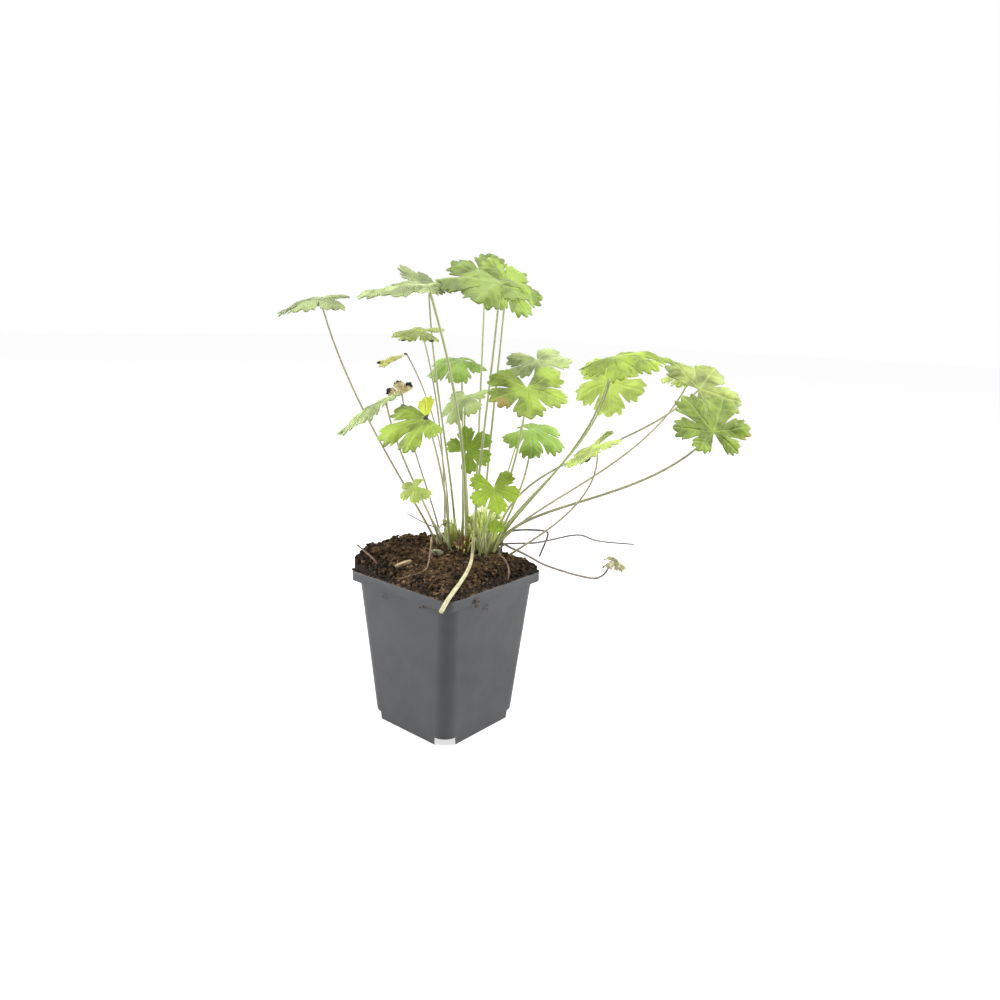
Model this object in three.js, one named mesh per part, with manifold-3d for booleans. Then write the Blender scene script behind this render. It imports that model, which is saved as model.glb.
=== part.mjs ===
// A hardy geranium (cranesbill) growing in a square nursery pot. Millimetres, +Z up.
//
// The pot stands on the XY plane with its centre at the origin and its walls square to X and Y. The plant
// is described in a frame of its own, turned about the pot's axis so that its front faces the pot's
// (+X, -Y) corner: in it X runs across the front from left to right, Y runs away to the back, and bearings
// are 0 right, 90 back, 180 left and 270 front.
import * as THREE from "three";
import { mergeVertices } from "three/addons/utils/BufferGeometryUtils.js";
import Module from "manifold-3d";

const wasm = await Module();
wasm.setup();
const rad = THREE.MathUtils.degToRad;

// ---------------------------------------------------------------- pot and soil dimensions

const RIM_HALF = 44; // half the width over the rim
const POT_HEIGHT = 101;
const BASE_HALF = 33.6; // half the width of the walls at the ground
const TOP_HALF = 41.6; // half the width of the walls under the rim
const WALL = 1; // wall thickness
const FLOOR = 1.6; // floor thickness
const RIM_DROP = 6.5; // height of the stepped-out rim
const WALL_RADIUS = 9.2; // rounded corners of the walls
const RIM_RADIUS = 5; // tighter corners of the rim
const CORNER_STEPS = 6; // flats in each rounded corner
const NOTCH_WIDTH = 13; // drain notch across each bottom corner, with walls of its own inside the pot
const NOTCH_HEIGHT = 5.5;
const NOTCH_INNER = 31; // from the axis to the inner side of a notch, along the diagonal
const DRAIN_RADIUS = 4; // round drain holes in the floor
const DRAIN_SPREAD = 17; // their distance from the axis along X and Y
const GAP = 0.3; // clearance between pieces that meet

const PLANT_TURN = rad(44); // from the pot's X to the plant's own X
const SOIL_EDGE = 100.9; // soil level along the rim
const SOIL_HEAP = 10.2; // rise of the soil to the middle of the pot
const SOIL_BANK = 14; // extra rise towards the back left
const SOIL_ROUND = 44; // points in each ring of the soil's surface
const SOIL_RINGS = [1, 0.96, 0.9, 0.8, 0.67, 0.52, 0.36, 0.18]; // sizes of the rings, as shares of the rim
const SOIL_ROUGH = 1.5; // unevenness of the surface
const CRUMBS = 24; // lumps of peat standing out of the surface

// ---------------------------------------------------------------- leaf dimensions

const ROOT_LEVEL = 101; // where the stalks end, down in the soil
const BLADE = 0.7; // thickness of a leaf blade
const HUB_BLADE = 1.6; // thickness where the stalk meets the blade
const STALK_SIDES = 5;
const STALK_STEPS = 9;
const STALK_FOOT = 1.1; // radius of a stalk at the ground
const STALK_NECK = 0.7; // radius of a stalk under its blade
const STALK_AIM = 0.4; // last share of a stalk that its slope at the hub steers
const LOBE_FALL = 0.07; // how much shorter each lobe is than its neighbour nearer the middle
const CUP = 0.1; // how steeply a blade rises from its hub
const WAVE = 0.05; // rise and fall of a blade round its edge
const UNEVEN_DROOP = 0.25; // how far the arching differs round a blade

// Half the outline of a lobe, from the sinus to the tip: distance from the hub, as a share of the lobe's
// length, and angle off the lobe's middle, as a share of half the spacing.
const SINUS = [0.36, 1];
const SHOULDER = [0.62, 0.89];
const FIRST_TOOTH = [0.82, 0.93];
const FIRST_NOTCH = [0.81, 0.71];
const SECOND_TOOTH = [0.96, 0.54];
const SECOND_NOTCH = [0.92, 0.3];
const RIBS = [0.46, 0.76]; // points along the midrib, before the tip

// One row for each leaf, in the plant's frame: its name, the hub where stalk and blade meet, the stalk's
// root, and
// [size, lobes, spread]: length of the middle lobe, number of lobes, degrees from one lobe to the next,
// [turn, lean, to]: bearing of the middle lobe, and tilt of the blade towards a bearing,
// [droop, fold, stretch]: how far the lobes arch down, fold along their midribs, and grow towards the
// middle lobe,
// [lift, arrive, stout]: rise of the stalk before it leans, extra steepness at the hub, and thickness.
const LEAF_ROWS = [
  ["leaf_01", [-82, 28, 269], [-3, 20.5], [30, 5, 61], [180, 10, 232], [40, -0.2, 0.05], [18, 12, 1]],
  ["leaf_02", [-14, -16, 278], [12.5, 8], [33, 5, 52], [172, 9, 248], [18, -0.25, 0.35], [60, -12, 1.3]],
  ["leaf_03", [-15, 40, 280], [6, 28], [24, 5, 58], [160, 28, 330], [5, -0.2, 0], [50, 4, 1]],
  ["leaf_04", [27, -30, 280], [17, 4], [32, 5, 61], [182, 20, 305], [26, -0.35, 0.25], [60, 0, 1]],
  ["leaf_05", [22, 54, 285], [18.5, 28.5], [33, 5, 61], [80, 38, 275], [16, -0.2, 0], [50, 0, 1]],
  ["leaf_06", [34, 26, 281], [24, 27], [29, 5, 58], [10, 46, 295], [26, -0.2, 0], [60, 0, 1]],
  ["leaf_07", [-18, 15, 251], [-1.5, 24], [21, 5, 61], [170, 14, 268], [30, -0.2, 0], [40, -10, 0.8]],
  ["leaf_08", [8, 64, 231], [10.5, 24], [27, 5, 61], [200, 14, 265], [48, -0.3, 0.1], [40, 0, 1]],
  ["leaf_09", [10, 23, 211], [14.5, 26.5], [22, 5, 52], [225, 36, 215], [34, -0.25, 0.15], [40, 5, 1]],
  ["leaf_10", [43, -42, 223], [25, 7], [29, 5, 63], [272, 34, 270], [18, -0.12, -0.1], [30, 20, 1]],
  ["leaf_11", [59, 55, 233], [28, 28], [27, 5, 65], [285, 26, 255], [18, -0.2, 0], [30, 5, 0.8]],
  ["leaf_12", [98, -7, 239.5], [29.5, 12.5], [36, 7, 47], [0, 17, 190], [50, -0.25, 0.15], [34, 24, 1]],
  ["leaf_13", [106, 37, 222], [30.5, 25], [29, 5, 68], [84, 58, 90], [35, -0.2, 0], [34, 22, 1]],
  ["leaf_14", [165, 48, 229], [31, 21], [25, 5, 61], [165, 14, 235], [38, -0.2, 0], [36, 28, 1]],
  ["leaf_15", [160, 15, 220], [30.5, 17], [33, 4, 66], [25, 42, 280], [22, -0.2, 0], [76, 4, 1]],
  ["leaf_16", [156.6, -31, 199], [28.5, 9], [28.5, 6, 54], [97, 48, 278], [16, -0.15, 0.2], [48, 18, 1.2]],
  ["leaf_17", [-13, -42, 204.5], [1.5, 10.5], [24, 5, 48], [186, 38, 240], [14, -0.2, 0.36], [40, -15, 1]],
  ["leaf_18", [-39.2, -2, 210.6], [-2, 13.5], [32, 5, 44], [196, 27, 176], [26, -0.3, 0.25], [26, 10, 1]],
  ["leaf_19", [-18, -44, 165], [5, 9], [13, 5, 55], [200, 34, 250], [45, -0.2, 0], [16, 10, 0.8]],
  ["leaf_20", [12, 14, 177], [9, 12], [18.5, 5, 61], [30, 68, 260], [18, -0.15, 0], [26, 0, 0.9]],
  ["leaf_21", [50, -6, 194], [27.5, 4.5], [25, 5, 61], [330, 22, 270], [55, -0.25, 0.05], [22, 20, 1]],
  ["leaf_22", [26, -42, 165], [20.5, 3], [18, 5, 61], [280, 52, 270], [20, -0.1, 0], [22, 15, 0.9]],
  ["leaf_23", [88, -25, 188], [31.5, 5.5], [24, 5, 61], [180, 32, 180], [16, -0.2, 0], [10, 50, 0.9]],
  ["young_leaf", [27.5, -14.5, 130.5], [24, 0.5], [9.5, 3, 44], [70, 72, 270], [10, -0.3, 0], [10, 0, 0.8]],
];

// Withered leaves, in the same terms: small blades, rolled up hard, on thin stalks.
const WITHERED_ROWS = [
  ["withered_leaf_1", [-28, 30, 236], [1.5, 27.5], [21, 1, 36], [185, 12, 200], [24, -0.9, 0], [30, -18, 0.7]],
  ["withered_leaf_2", [-30, 12, 212], [-2.5, 17], [12, 3, 50], [110, 70, 270], [40, -0.6, 0], [30, 5, 0.8]],
];

// The shrivelled blade at the far end of the fallen leaf's stalk.
const FALLEN_BLADE_ROW =
  ["fallen_blade", [113, 19, 103], [0, 0], [14, 5, 54], [345, 16, 350], [46, -0.8, -0.25], [0, 0, 1]];

// Dead stems and roots: name, colour, [radius at the first point, radius at the last], and points in the
// plant's frame.
const STRAND_ROWS = [
  ["cut_stem", 0xcdbf97, [0.95, 1.35],
    [[16.6, -4.4, 124], [15.9, -6.5, 113.8], [14.1, -24, 112.6], [11, -36.5, 110.2], [6.4, -50, 107.6],
      [0.7, -60, 102.7], [-3.2, -66.5, 97.6]]],
  ["bent_twig", 0x5e5548, [0.8, 0.6],
    [[36, 15.5, 106], [36.5, 15, 118], [41, 13, 123.6], [47, 11, 125.6], [65, 11, 124.8], [66, 11, 123.4],
      [61, 11, 107.6]]],
  ["long_twig", 0x6a6156, [0.7, 0.5],
    [[33.5, 3.5, 106], [34, 4.5, 114.5], [38, 6.5, 117.2], [44.2, 7, 117.6], [56.6, 7, 118.1],
      [66, 6.8, 120], [85.8, 6, 124.2], [98, 8, 120], [123, 8, 117.8]]],
  ["fallen_leaf", 0xa08478, [0.8, 0.7],
    [[34, 15.5, 104], [34.2, 14, 114.6], [36.7, 12.5, 115.8], [41.5, 13, 113.1], [46.3, 14, 110.8],
      [55.3, 15, 106.1], [64, 15.5, 101.2], [75, 14, 97.6], [89, 14.5, 93.5], [101, 16, 91.5],
      [106.5, 17.5, 94], [110, 19, 99], [113, 19, 103]]],
  ["pale_root", 0xc9b48f, [0.55, 0.35],
    [[-9.5, 6, 107], [-10, 3, 122], [-10.5, -8, 118], [-11.5, -19, 112], [-14, -29, 110], [-29, -31, 105]]],
  ["bowed_root", 0x8a6a52, [0.6, 0.45],
    [[29, -3, 108], [32, -5.5, 113.5], [36.5, -10.5, 111.5], [38.5, -17, 108], [38, -22, 102]]],
  ["left_twig", 0x8f7b66, [0.8, 0.5], [[-41, -11, 104], [-46, -9, 110.5], [-57, -1, 117.5]]],
  ["thin_twig", 0xa8a08e, [0.5, 0.35],
    [[-3.5, 27.5, 104], [-6, 27.5, 120], [-15, 27, 125], [-27, 27, 131.5]]],
];

function leafFrom([name, hub, root, plan, pose, form, stem]) {
  const [size, lobes, spread] = plan;
  const [turn, lean, to] = pose;
  const [droop, fold, stretch] = form;
  const [lift, arrive, stout] = stem;
  return { name, hub, root, size, lobes, spread, turn, lean, to, droop, fold, stretch, lift, arrive, stout };
}

const strandFrom = ([name, colour, [radius, end], points]) => ({ name, colour, radius, end, points });

// ---------------------------------------------------------------- crown and litter dimensions

// Where each lobe of the rootstock stands, its half widths, and the number and height of its stubs.
const CROWN_LOBES = [
  { x: 3.6, y: 19.5, rx: 3.6, ry: 4.4, stubs: 6, tall: 20 },
  { x: 21.5, y: 17, rx: 5.8, ry: 7, stubs: 10, tall: 26 },
];
// Widths of a lobe at heights, both as shares of the whole.
const CROWN_PROFILE = [[0.6, 0], [0.92, 0.2], [1, 0.5], [0.85, 0.8], [0.45, 1]];
const CROWN_LOW = 100;
const CROWN_HIGH = 113;
const CROWN_ROUND = 10;
const NECK_LEVEL = 105;
const NECK_RADIUS = 2.6;
const STUB_SINK = 5; // how deep a stub starts inside its lobe
const STUB_RADIUS = 1.6;
const STUB_TIP = 0.9;
const STUB_SPREAD = 0.72; // how far out the stubs stand, as a share of their lobe
const STUB_LEAN = 3; // how far an outer stub leans out
const GOLDEN_ANGLE = 137.5;

const CHIP = { spot: [-27, -17.5, 110.6], size: [12.5, 3.6, 2], bearing: 28, slope: -12 };
const MOSS = { spot: [-7.1, 0, 112.4], size: [5, 3.6, 2.6] };

// ---------------------------------------------------------------- helpers

const at = (x, y, z) => new THREE.Vector3(x, y, z);

// The unit vector at a bearing and an elevation, both in degrees.
function toward(bearing, elevation) {
  const level = Math.cos(rad(elevation));
  return at(level * Math.cos(rad(bearing)), level * Math.sin(rad(bearing)), Math.sin(rad(elevation)));
}

// A number from 0 to 1, always the same for the k-th choice made about a numbered thing.
function chance(number, k) {
  const value = Math.sin(number * 12.9898 + k * 78.233) * 43758.5453;
  return value - Math.floor(value);
}

function meshGeometry(points, triangles) {
  const geometry = new THREE.BufferGeometry();
  const numbers = points.flatMap((p) => [p.x, p.y, p.z]);
  geometry.setAttribute("position", new THREE.Float32BufferAttribute(numbers, 3));
  geometry.setIndex(triangles.flat());
  return geometry;
}

// Joins rings of points, each with as many, into one closed body with a fan over each end.
function loft(rings) {
  const round = rings[0].length;
  const points = rings.flat();
  const triangles = [];
  for (let r = 0; r + 1 < rings.length; r++) {
    for (let i = 0; i < round; i++) {
      const a = r * round + i;
      const b = r * round + ((i + 1) % round);
      triangles.push([a, b, b + round], [a, b + round, a + round]);
    }
  }
  for (const [ring, flip] of [[0, true], [rings.length - 1, false]]) {
    const middle = rings[ring].reduce((sum, p) => sum.add(p), at(0, 0, 0)).divideScalar(round);
    points.push(middle);
    for (let i = 0; i < round; i++) {
      const a = ring * round + i;
      const b = ring * round + ((i + 1) % round);
      triangles.push(flip ? [points.length - 1, b, a] : [points.length - 1, a, b]);
    }
  }
  return meshGeometry(points, triangles);
}

// A tube along a curve whose radius goes evenly from start to end.
function taperedTube(curve, start, end, sides, steps) {
  const frames = curve.computeFrenetFrames(steps, false);
  const rings = [];
  for (let s = 0; s <= steps; s++) {
    const middle = curve.getPointAt(s / steps);
    const radius = start + ((end - start) * s) / steps;
    const ring = [];
    for (let i = 0; i < sides; i++) {
      const angle = (2 * Math.PI * i) / sides;
      ring.push(middle.clone()
        .addScaledVector(frames.normals[s], radius * Math.cos(angle))
        .addScaledVector(frames.binormals[s], radius * Math.sin(angle)));
    }
    rings.push(ring);
  }
  return loft(rings);
}

function toSolid(geometry) {
  const bare = geometry.clone();
  bare.deleteAttribute("normal");
  bare.deleteAttribute("uv");
  const merged = mergeVertices(bare, 1e-4);
  const vertProperties = Float32Array.from(merged.attributes.position.array);
  const triVerts = Uint32Array.from(merged.index.array);
  return new wasm.Manifold(new wasm.Mesh({ numProp: 3, vertProperties, triVerts }));
}

function toGeometry(solid) {
  const mesh = solid.getMesh();
  const geometry = new THREE.BufferGeometry();
  geometry.setAttribute("position", new THREE.BufferAttribute(Float32Array.from(mesh.vertProperties), 3));
  geometry.setIndex(Array.from(mesh.triVerts));
  return geometry;
}

function piece(name, geometry, colour, roughness) {
  geometry.computeVertexNormals();
  const material = new THREE.MeshStandardMaterial({ color: colour, roughness, metalness: 0 });
  const mesh = new THREE.Mesh(geometry, material);
  mesh.name = name;
  return mesh;
}

// ---------------------------------------------------------------- pot

function roundedSquare(half, radius, z) {
  const ring = [];
  for (let corner = 0; corner < 4; corner++) {
    const middle = toward(45 + 90 * corner, 0).multiplyScalar((half - radius) * Math.SQRT2);
    for (let i = 0; i <= CORNER_STEPS; i++) {
      const spoke = toward(90 * (corner + i / CORNER_STEPS), 0).multiplyScalar(radius);
      ring.push(at(middle.x + spoke.x, middle.y + spoke.y, z));
    }
  }
  return ring;
}

// The space of a notch, larger by `grow` on each side.
function notchBlock(corner, grow) {
  const wide = NOTCH_WIDTH + 2 * grow;
  const block = new THREE.BoxGeometry(NOTCH_WIDTH + wide, wide, 2 * NOTCH_HEIGHT + 2 * grow);
  return toSolid(block.translate(NOTCH_INNER + NOTCH_WIDTH, 0, 0).rotateZ(rad(45 + 90 * corner)));
}

function nurseryPot() {
  const rimLow = POT_HEIGHT - RIM_DROP;
  let pot = toSolid(loft([
    roundedSquare(BASE_HALF, WALL_RADIUS, 0),
    roundedSquare(TOP_HALF, WALL_RADIUS, rimLow),
    roundedSquare(RIM_HALF, RIM_RADIUS, rimLow),
    roundedSquare(RIM_HALF, RIM_RADIUS, POT_HEIGHT),
  ]));
  let hollow = toSolid(loft([
    roundedSquare(BASE_HALF - WALL, WALL_RADIUS - WALL, FLOOR),
    roundedSquare(TOP_HALF - WALL, WALL_RADIUS - WALL, rimLow + WALL),
    roundedSquare(RIM_HALF - WALL, RIM_RADIUS - WALL, rimLow + WALL),
    roundedSquare(RIM_HALF - WALL, RIM_RADIUS - WALL, POT_HEIGHT + WALL),
  ]));
  for (let corner = 0; corner < 4; corner++) {
    hollow = hollow.subtract(notchBlock(corner, WALL));
  }
  pot = pot.subtract(hollow);
  for (let corner = 0; corner < 4; corner++) {
    const drain = new THREE.CylinderGeometry(DRAIN_RADIUS, DRAIN_RADIUS, 4 * FLOOR, 16);
    drain.rotateX(rad(90)).translate(DRAIN_SPREAD, DRAIN_SPREAD, 0).rotateZ(rad(90 * corner));
    pot = pot.subtract(notchBlock(corner, 0)).subtract(toSolid(drain));
  }
  return toGeometry(pot);
}

// ---------------------------------------------------------------- stalks and strands

// The middle line of a leaf's stalk: up out of the crown, then over to the hub.
function stalkLine(leaf) {
  const root = at(leaf.root[0], leaf.root[1], ROOT_LEVEL);
  const hub = at(...leaf.hub);
  const run = hub.clone().sub(root);
  const bearing = THREE.MathUtils.radToDeg(Math.atan2(run.y, run.x));
  const elevation = THREE.MathUtils.radToDeg(Math.asin(run.z / run.length()));
  const rise = root.clone().add(at(0, 0, leaf.lift));
  const slope = toward(bearing, elevation + leaf.arrive);
  const arrival = hub.clone().addScaledVector(slope, -STALK_AIM * run.length());
  return new THREE.CubicBezierCurve3(root, rise, arrival, hub);
}

function stalk(leaf, grow) {
  const foot = STALK_FOOT * leaf.stout + grow;
  return taperedTube(stalkLine(leaf), foot, STALK_NECK * leaf.stout + grow, STALK_SIDES, STALK_STEPS);
}

function strandTube(strand, grow) {
  const line = new THREE.CatmullRomCurve3(strand.points.map((p) => at(...p)), false, "centripetal");
  const steps = 3 * (strand.points.length - 1);
  return taperedTube(line, strand.radius + grow, strand.end + grow, STALK_SIDES, steps);
}

// ---------------------------------------------------------------- leaf blades

// A point of the flat leaf, given by its distance from the hub and its angle from the middle lobe, on the
// shaped blade: risen from the hub, folded along each midrib, waved at the edge and arched down outwards.
function bladePoint(leaf, distance, angle, offMiddle) {
  const phase = leaf.size + leaf.turn;
  const droop = rad(leaf.droop) * (1 + UNEVEN_DROOP * Math.sin(2 * rad(angle) + phase));
  const reach = Math.sin(droop * distance) / droop;
  const fall = (1 - Math.cos(droop * distance)) / droop;
  const fold = leaf.fold * distance * Math.abs(Math.sin(rad(offMiddle)));
  const wave = WAVE * distance * distance * Math.sin(3 * rad(angle) + phase);
  const height = CUP * distance + fold + wave - fall;
  const shaped = at(reach * Math.cos(rad(angle)), reach * Math.sin(rad(angle)), height);
  return shaped.multiplyScalar(leaf.size);
}

// A lobe's length as a share of the leaf's size.
function lobeLength(leaf, lobe) {
  const order = lobe - (leaf.lobes - 1) / 2;
  return (1 - LOBE_FALL * Math.abs(order)) * (1 + leaf.stretch * Math.cos(rad(order * leaf.spread)));
}

// The blade's middle surface: points, triangles and the order of the points round the edge.
function bladeSheet(leaf) {
  const points = [at(0, 0, 0)];
  const triangles = [];
  const edge = [0];
  const half = leaf.spread / 2;
  const add = (distance, angle, off) => points.push(bladePoint(leaf, distance, angle, off)) - 1;
  let shared = add(SINUS[0] * lobeLength(leaf, 0), -leaf.lobes * half, half);
  edge.push(shared);
  for (let lobe = 0; lobe < leaf.lobes; lobe++) {
    const axis = (2 * lobe - leaf.lobes + 1) * half;
    const length = lobeLength(leaf, lobe);
    const [innerRib, outerRib, tip] = [...RIBS, 1].map((share) => add(share * length, axis, 0));
    for (const side of [-1, 1]) {
      const place = ([distance, share]) => add(distance * length, axis + side * share * half, share * half);
      const sinus = side < 0 ? shared : place(SINUS);
      const teeth = [SHOULDER, FIRST_TOOTH, FIRST_NOTCH, SECOND_TOOTH, SECOND_NOTCH].map(place);
      const [shoulder, firstTooth, firstNotch, secondTooth, secondNotch] = teeth;
      const halfLobe = [
        [0, sinus, innerRib], [innerRib, sinus, shoulder], [innerRib, shoulder, outerRib],
        [outerRib, shoulder, firstNotch], [shoulder, firstTooth, firstNotch],
        [outerRib, firstNotch, secondNotch], [firstNotch, secondTooth, secondNotch],
        [outerRib, secondNotch, tip],
      ];
      triangles.push(...halfLobe.map(([a, b, c]) => (side < 0 ? [a, b, c] : [a, c, b])));
      edge.push(...(side < 0 ? [...teeth, tip] : [...teeth.reverse(), sinus]));
      shared = sinus;
    }
  }
  return { points, triangles, edge };
}

// Gives a sheet its thickness, with the same triangles on both faces, and more of it at the hub.
function thicken({ points, triangles, edge }) {
  const sheet = meshGeometry(points, triangles);
  sheet.computeVertexNormals();
  const normals = points.map((_, i) => at(0, 0, 0).fromBufferAttribute(sheet.attributes.normal, i));
  const count = points.length;
  const depth = (i) => (i === 0 ? HUB_BLADE : BLADE) / 2;
  const upper = points.map((p, i) => p.clone().addScaledVector(normals[i], depth(i)));
  const lower = points.map((p, i) => p.clone().addScaledVector(normals[i], -depth(i)));
  const faces = triangles.flatMap(([a, b, c]) => [[a, b, c], [count + a, count + c, count + b]]);
  edge.forEach((a, i) => {
    const b = edge[(i + 1) % edge.length];
    faces.push([b, a, count + a], [b, count + a, count + b]);
  });
  return meshGeometry([...upper, ...lower], faces);
}

// The blade on its hub, leaning and pointing as the leaf does.
function blade(leaf) {
  const leaning = new THREE.Quaternion().setFromAxisAngle(toward(leaf.to + 90, 0), rad(leaf.lean));
  const turning = new THREE.Quaternion().setFromAxisAngle(at(0, 0, 1), rad(leaf.turn));
  const geometry = thicken(bladeSheet(leaf));
  return toSolid(geometry.applyQuaternion(leaning.multiply(turning)).translate(...leaf.hub));
}

const wholeLeaf = (leaf) => toGeometry(blade(leaf).add(toSolid(stalk(leaf, 0))));

// ---------------------------------------------------------------- crown

// One lobe of the rootstock: an upright egg, flattened at its foot.
function crownLobe(lobe, grow) {
  return loft(CROWN_PROFILE.map(([width, height]) => {
    const z = CROWN_LOW - grow + (CROWN_HIGH - CROWN_LOW + 2 * grow) * height;
    const ring = [];
    for (let i = 0; i < CROWN_ROUND; i++) {
      const spoke = toward((360 * i) / CROWN_ROUND, 0);
      const across = (width * lobe.rx + grow) * spoke.x;
      const away = (width * lobe.ry + grow) * spoke.y;
      ring.push(at(lobe.x + across, lobe.y + away, z));
    }
    return ring;
  }));
}

// The rootstock with the stubs of old stalks standing on it.
function crown(grow) {
  const [left, right] = CROWN_LOBES;
  const neck = new THREE.LineCurve3(at(left.x, left.y, NECK_LEVEL), at(right.x, right.y, NECK_LEVEL));
  let body = toSolid(taperedTube(neck, NECK_RADIUS + grow, NECK_RADIUS + grow, 8, 1));
  for (const lobe of CROWN_LOBES) {
    body = body.add(toSolid(crownLobe(lobe, grow)));
    for (let s = 0; s < lobe.stubs; s++) {
      const spoke = toward(GOLDEN_ANGLE * s, 0);
      const out = STUB_SPREAD * Math.sqrt((s + 0.5) / lobe.stubs);
      const across = out * lobe.rx * spoke.x;
      const away = out * lobe.ry * spoke.y;
      const foot = at(lobe.x + across, lobe.y + away, CROWN_HIGH - STUB_SINK);
      const height = lobe.tall * (0.55 + 0.45 * chance(s, lobe.stubs));
      const top = foot.clone().add(at(STUB_LEAN * out * spoke.x, STUB_LEAN * out * spoke.y, height));
      const stub = taperedTube(new THREE.LineCurve3(foot, top), STUB_RADIUS + grow, STUB_TIP + grow, 5, 1);
      body = body.add(toSolid(stub));
    }
  }
  return body;
}

// ---------------------------------------------------------------- litter

function woodChip(grow) {
  const chip = new THREE.BoxGeometry(...CHIP.size.map((side) => side + 2 * grow));
  return chip.rotateY(rad(CHIP.slope)).rotateZ(rad(CHIP.bearing)).translate(...CHIP.spot);
}

function mossTuft(grow) {
  const tuft = new THREE.IcosahedronGeometry(1, 1);
  return tuft.scale(...MOSS.size.map((half) => half + grow)).translate(...MOSS.spot);
}

// ---------------------------------------------------------------- soil

// Height of the soil over a point of the pot, without its roughness.
function soilLevel(x, y) {
  const out = Math.max(Math.abs(x), Math.abs(y)) / RIM_HALF;
  const left = -(x * Math.cos(PLANT_TURN) + y * Math.sin(PLANT_TURN)) / RIM_HALF;
  const back = (y * Math.cos(PLANT_TURN) - x * Math.sin(PLANT_TURN)) / RIM_HALF;
  const heap = SOIL_HEAP * (1 - out ** 5);
  const bank = SOIL_BANK * Math.max(0, left) * THREE.MathUtils.clamp(back + 0.5, 0, 1) * (1 - out ** 16);
  return SOIL_EDGE + heap + bank + 1.5 * back * (1 - out ** 4);
}

// How far a rounded square reaches from its middle at one bearing.
function squareReach(bearing, half, radius) {
  const spoke = toward(bearing, 0);
  const wide = Math.max(Math.abs(spoke.x), Math.abs(spoke.y));
  const narrow = Math.min(Math.abs(spoke.x), Math.abs(spoke.y));
  const flat = half / wide;
  const corner = (half - radius) * (wide + narrow);
  const round = corner + Math.sqrt(Math.max(0, corner ** 2 - 2 * (half - radius) ** 2 + radius ** 2));
  return narrow * flat > half - radius ? Math.min(round, flat) : flat;
}

function soilRing(half, radius, level) {
  const ring = [];
  for (let i = 0; i < SOIL_ROUND; i++) {
    const bearing = (360 * i) / SOIL_ROUND;
    const spot = toward(bearing, 0).multiplyScalar(squareReach(bearing, half, radius));
    ring.push(at(spot.x, spot.y, level(spot.x, spot.y)));
  }
  return ring;
}

function crumb(n) {
  const half = 0.88 * RIM_HALF;
  const x = half * (2 * chance(n, 1) - 1);
  const y = half * (2 * chance(n, 2) - 1);
  const size = 1.3 + 1.6 * chance(n, 3) ** 2;
  const lump = new THREE.IcosahedronGeometry(size, 0);
  lump.scale(1.2, 0.9, 0.8).rotateZ(6 * chance(n, 4)).rotateX(chance(n, 5));
  return lump.translate(x, y, soilLevel(x, y) + 0.2 * size);
}

// The peat in the pot, with a hole for everything that stands or lies in it.
function pottingSoil(standing) {
  const rimHalf = RIM_HALF - WALL - GAP;
  const stepHeight = POT_HEIGHT - RIM_DROP + WALL + GAP;
  const rough = (x, y) => soilLevel(x, y) + SOIL_ROUGH * (chance(x, y) - 0.5);
  let soil = toSolid(loft([
    soilRing(BASE_HALF - WALL - GAP, WALL_RADIUS - WALL, () => FLOOR + GAP),
    soilRing(TOP_HALF - WALL - GAP, WALL_RADIUS - WALL, () => stepHeight),
    soilRing(rimHalf, RIM_RADIUS - WALL, () => stepHeight),
    ...SOIL_RINGS.map((share) => soilRing(rimHalf * share, (RIM_RADIUS - WALL) * share, rough)),
  ]));
  for (let n = 0; n < CRUMBS; n++) {
    soil = soil.add(toSolid(crumb(n)));
  }
  for (let corner = 0; corner < 4; corner++) {
    soil = soil.subtract(notchBlock(corner, WALL + GAP));
  }
  for (const solid of standing) {
    soil = soil.subtract(solid.transform(new THREE.Matrix4().makeRotationZ(PLANT_TURN).elements));
  }
  const bodies = soil.decompose().sort((a, b) => b.volume() - a.volume());
  return toGeometry(bodies[0]);
}

// ---------------------------------------------------------------- assembly

const leaves = LEAF_ROWS.map(leafFrom);
const withered = WITHERED_ROWS.map(leafFrom);
const strands = STRAND_ROWS.map(strandFrom);
const standing = [
  ...[...leaves, ...withered].map((leaf) => toSolid(stalk(leaf, GAP))),
  ...strands.map((strand) => toSolid(strandTube(strand, GAP))),
  toSolid(woodChip(GAP)),
  toSolid(mossTuft(GAP)),
  crown(GAP),
];

const plant = new THREE.Group();
plant.rotation.z = PLANT_TURN;
for (const leaf of leaves) {
  plant.add(piece(leaf.name, wholeLeaf(leaf), 0x86ab3c, 0.6));
}
for (const leaf of withered) {
  plant.add(piece(leaf.name, wholeLeaf(leaf), 0xa99a55, 0.8));
}
for (const strand of strands) {
  let body = toSolid(strandTube(strand, 0));
  if (strand.name === "fallen_leaf") {
    body = body.add(blade(leafFrom(FALLEN_BLADE_ROW)));
  }
  plant.add(piece(strand.name, toGeometry(body), strand.colour, 0.8));
}
plant.add(piece("crown", toGeometry(crown(0)), 0x8d8a4c, 0.8));
plant.add(piece("wood_chip", woodChip(0), 0xb89f78, 0.9));
plant.add(piece("moss_tuft", mossTuft(0), 0x7d8a63, 1));

const geranium = new THREE.Group();
geranium.add(plant);
geranium.add(piece("potting_soil", pottingSoil(standing), 0x3d3026, 1));
geranium.add(piece("nursery_pot", nurseryPot(), 0x66686a, 0.5));

export default geranium;
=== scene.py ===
"""A hardy geranium in a square nursery pot: the looks of every surface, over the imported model.

Sizes and places are in millimetres until a mesh is made. The plant has a frame of its own, turned about
the pot's axis: X runs across the front from left to right, Y runs away to the back, Z is up. Bearings are
0 right, 90 back, 180 left and 270 front.
"""

from __future__ import annotations

import logging
import math
import random
from dataclasses import dataclass, field
from enum import Enum, IntEnum
from functools import partial
from typing import Callable, Sequence

import bmesh
import bpy
import numpy as np
from mathutils import Matrix, Vector, noise

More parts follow.
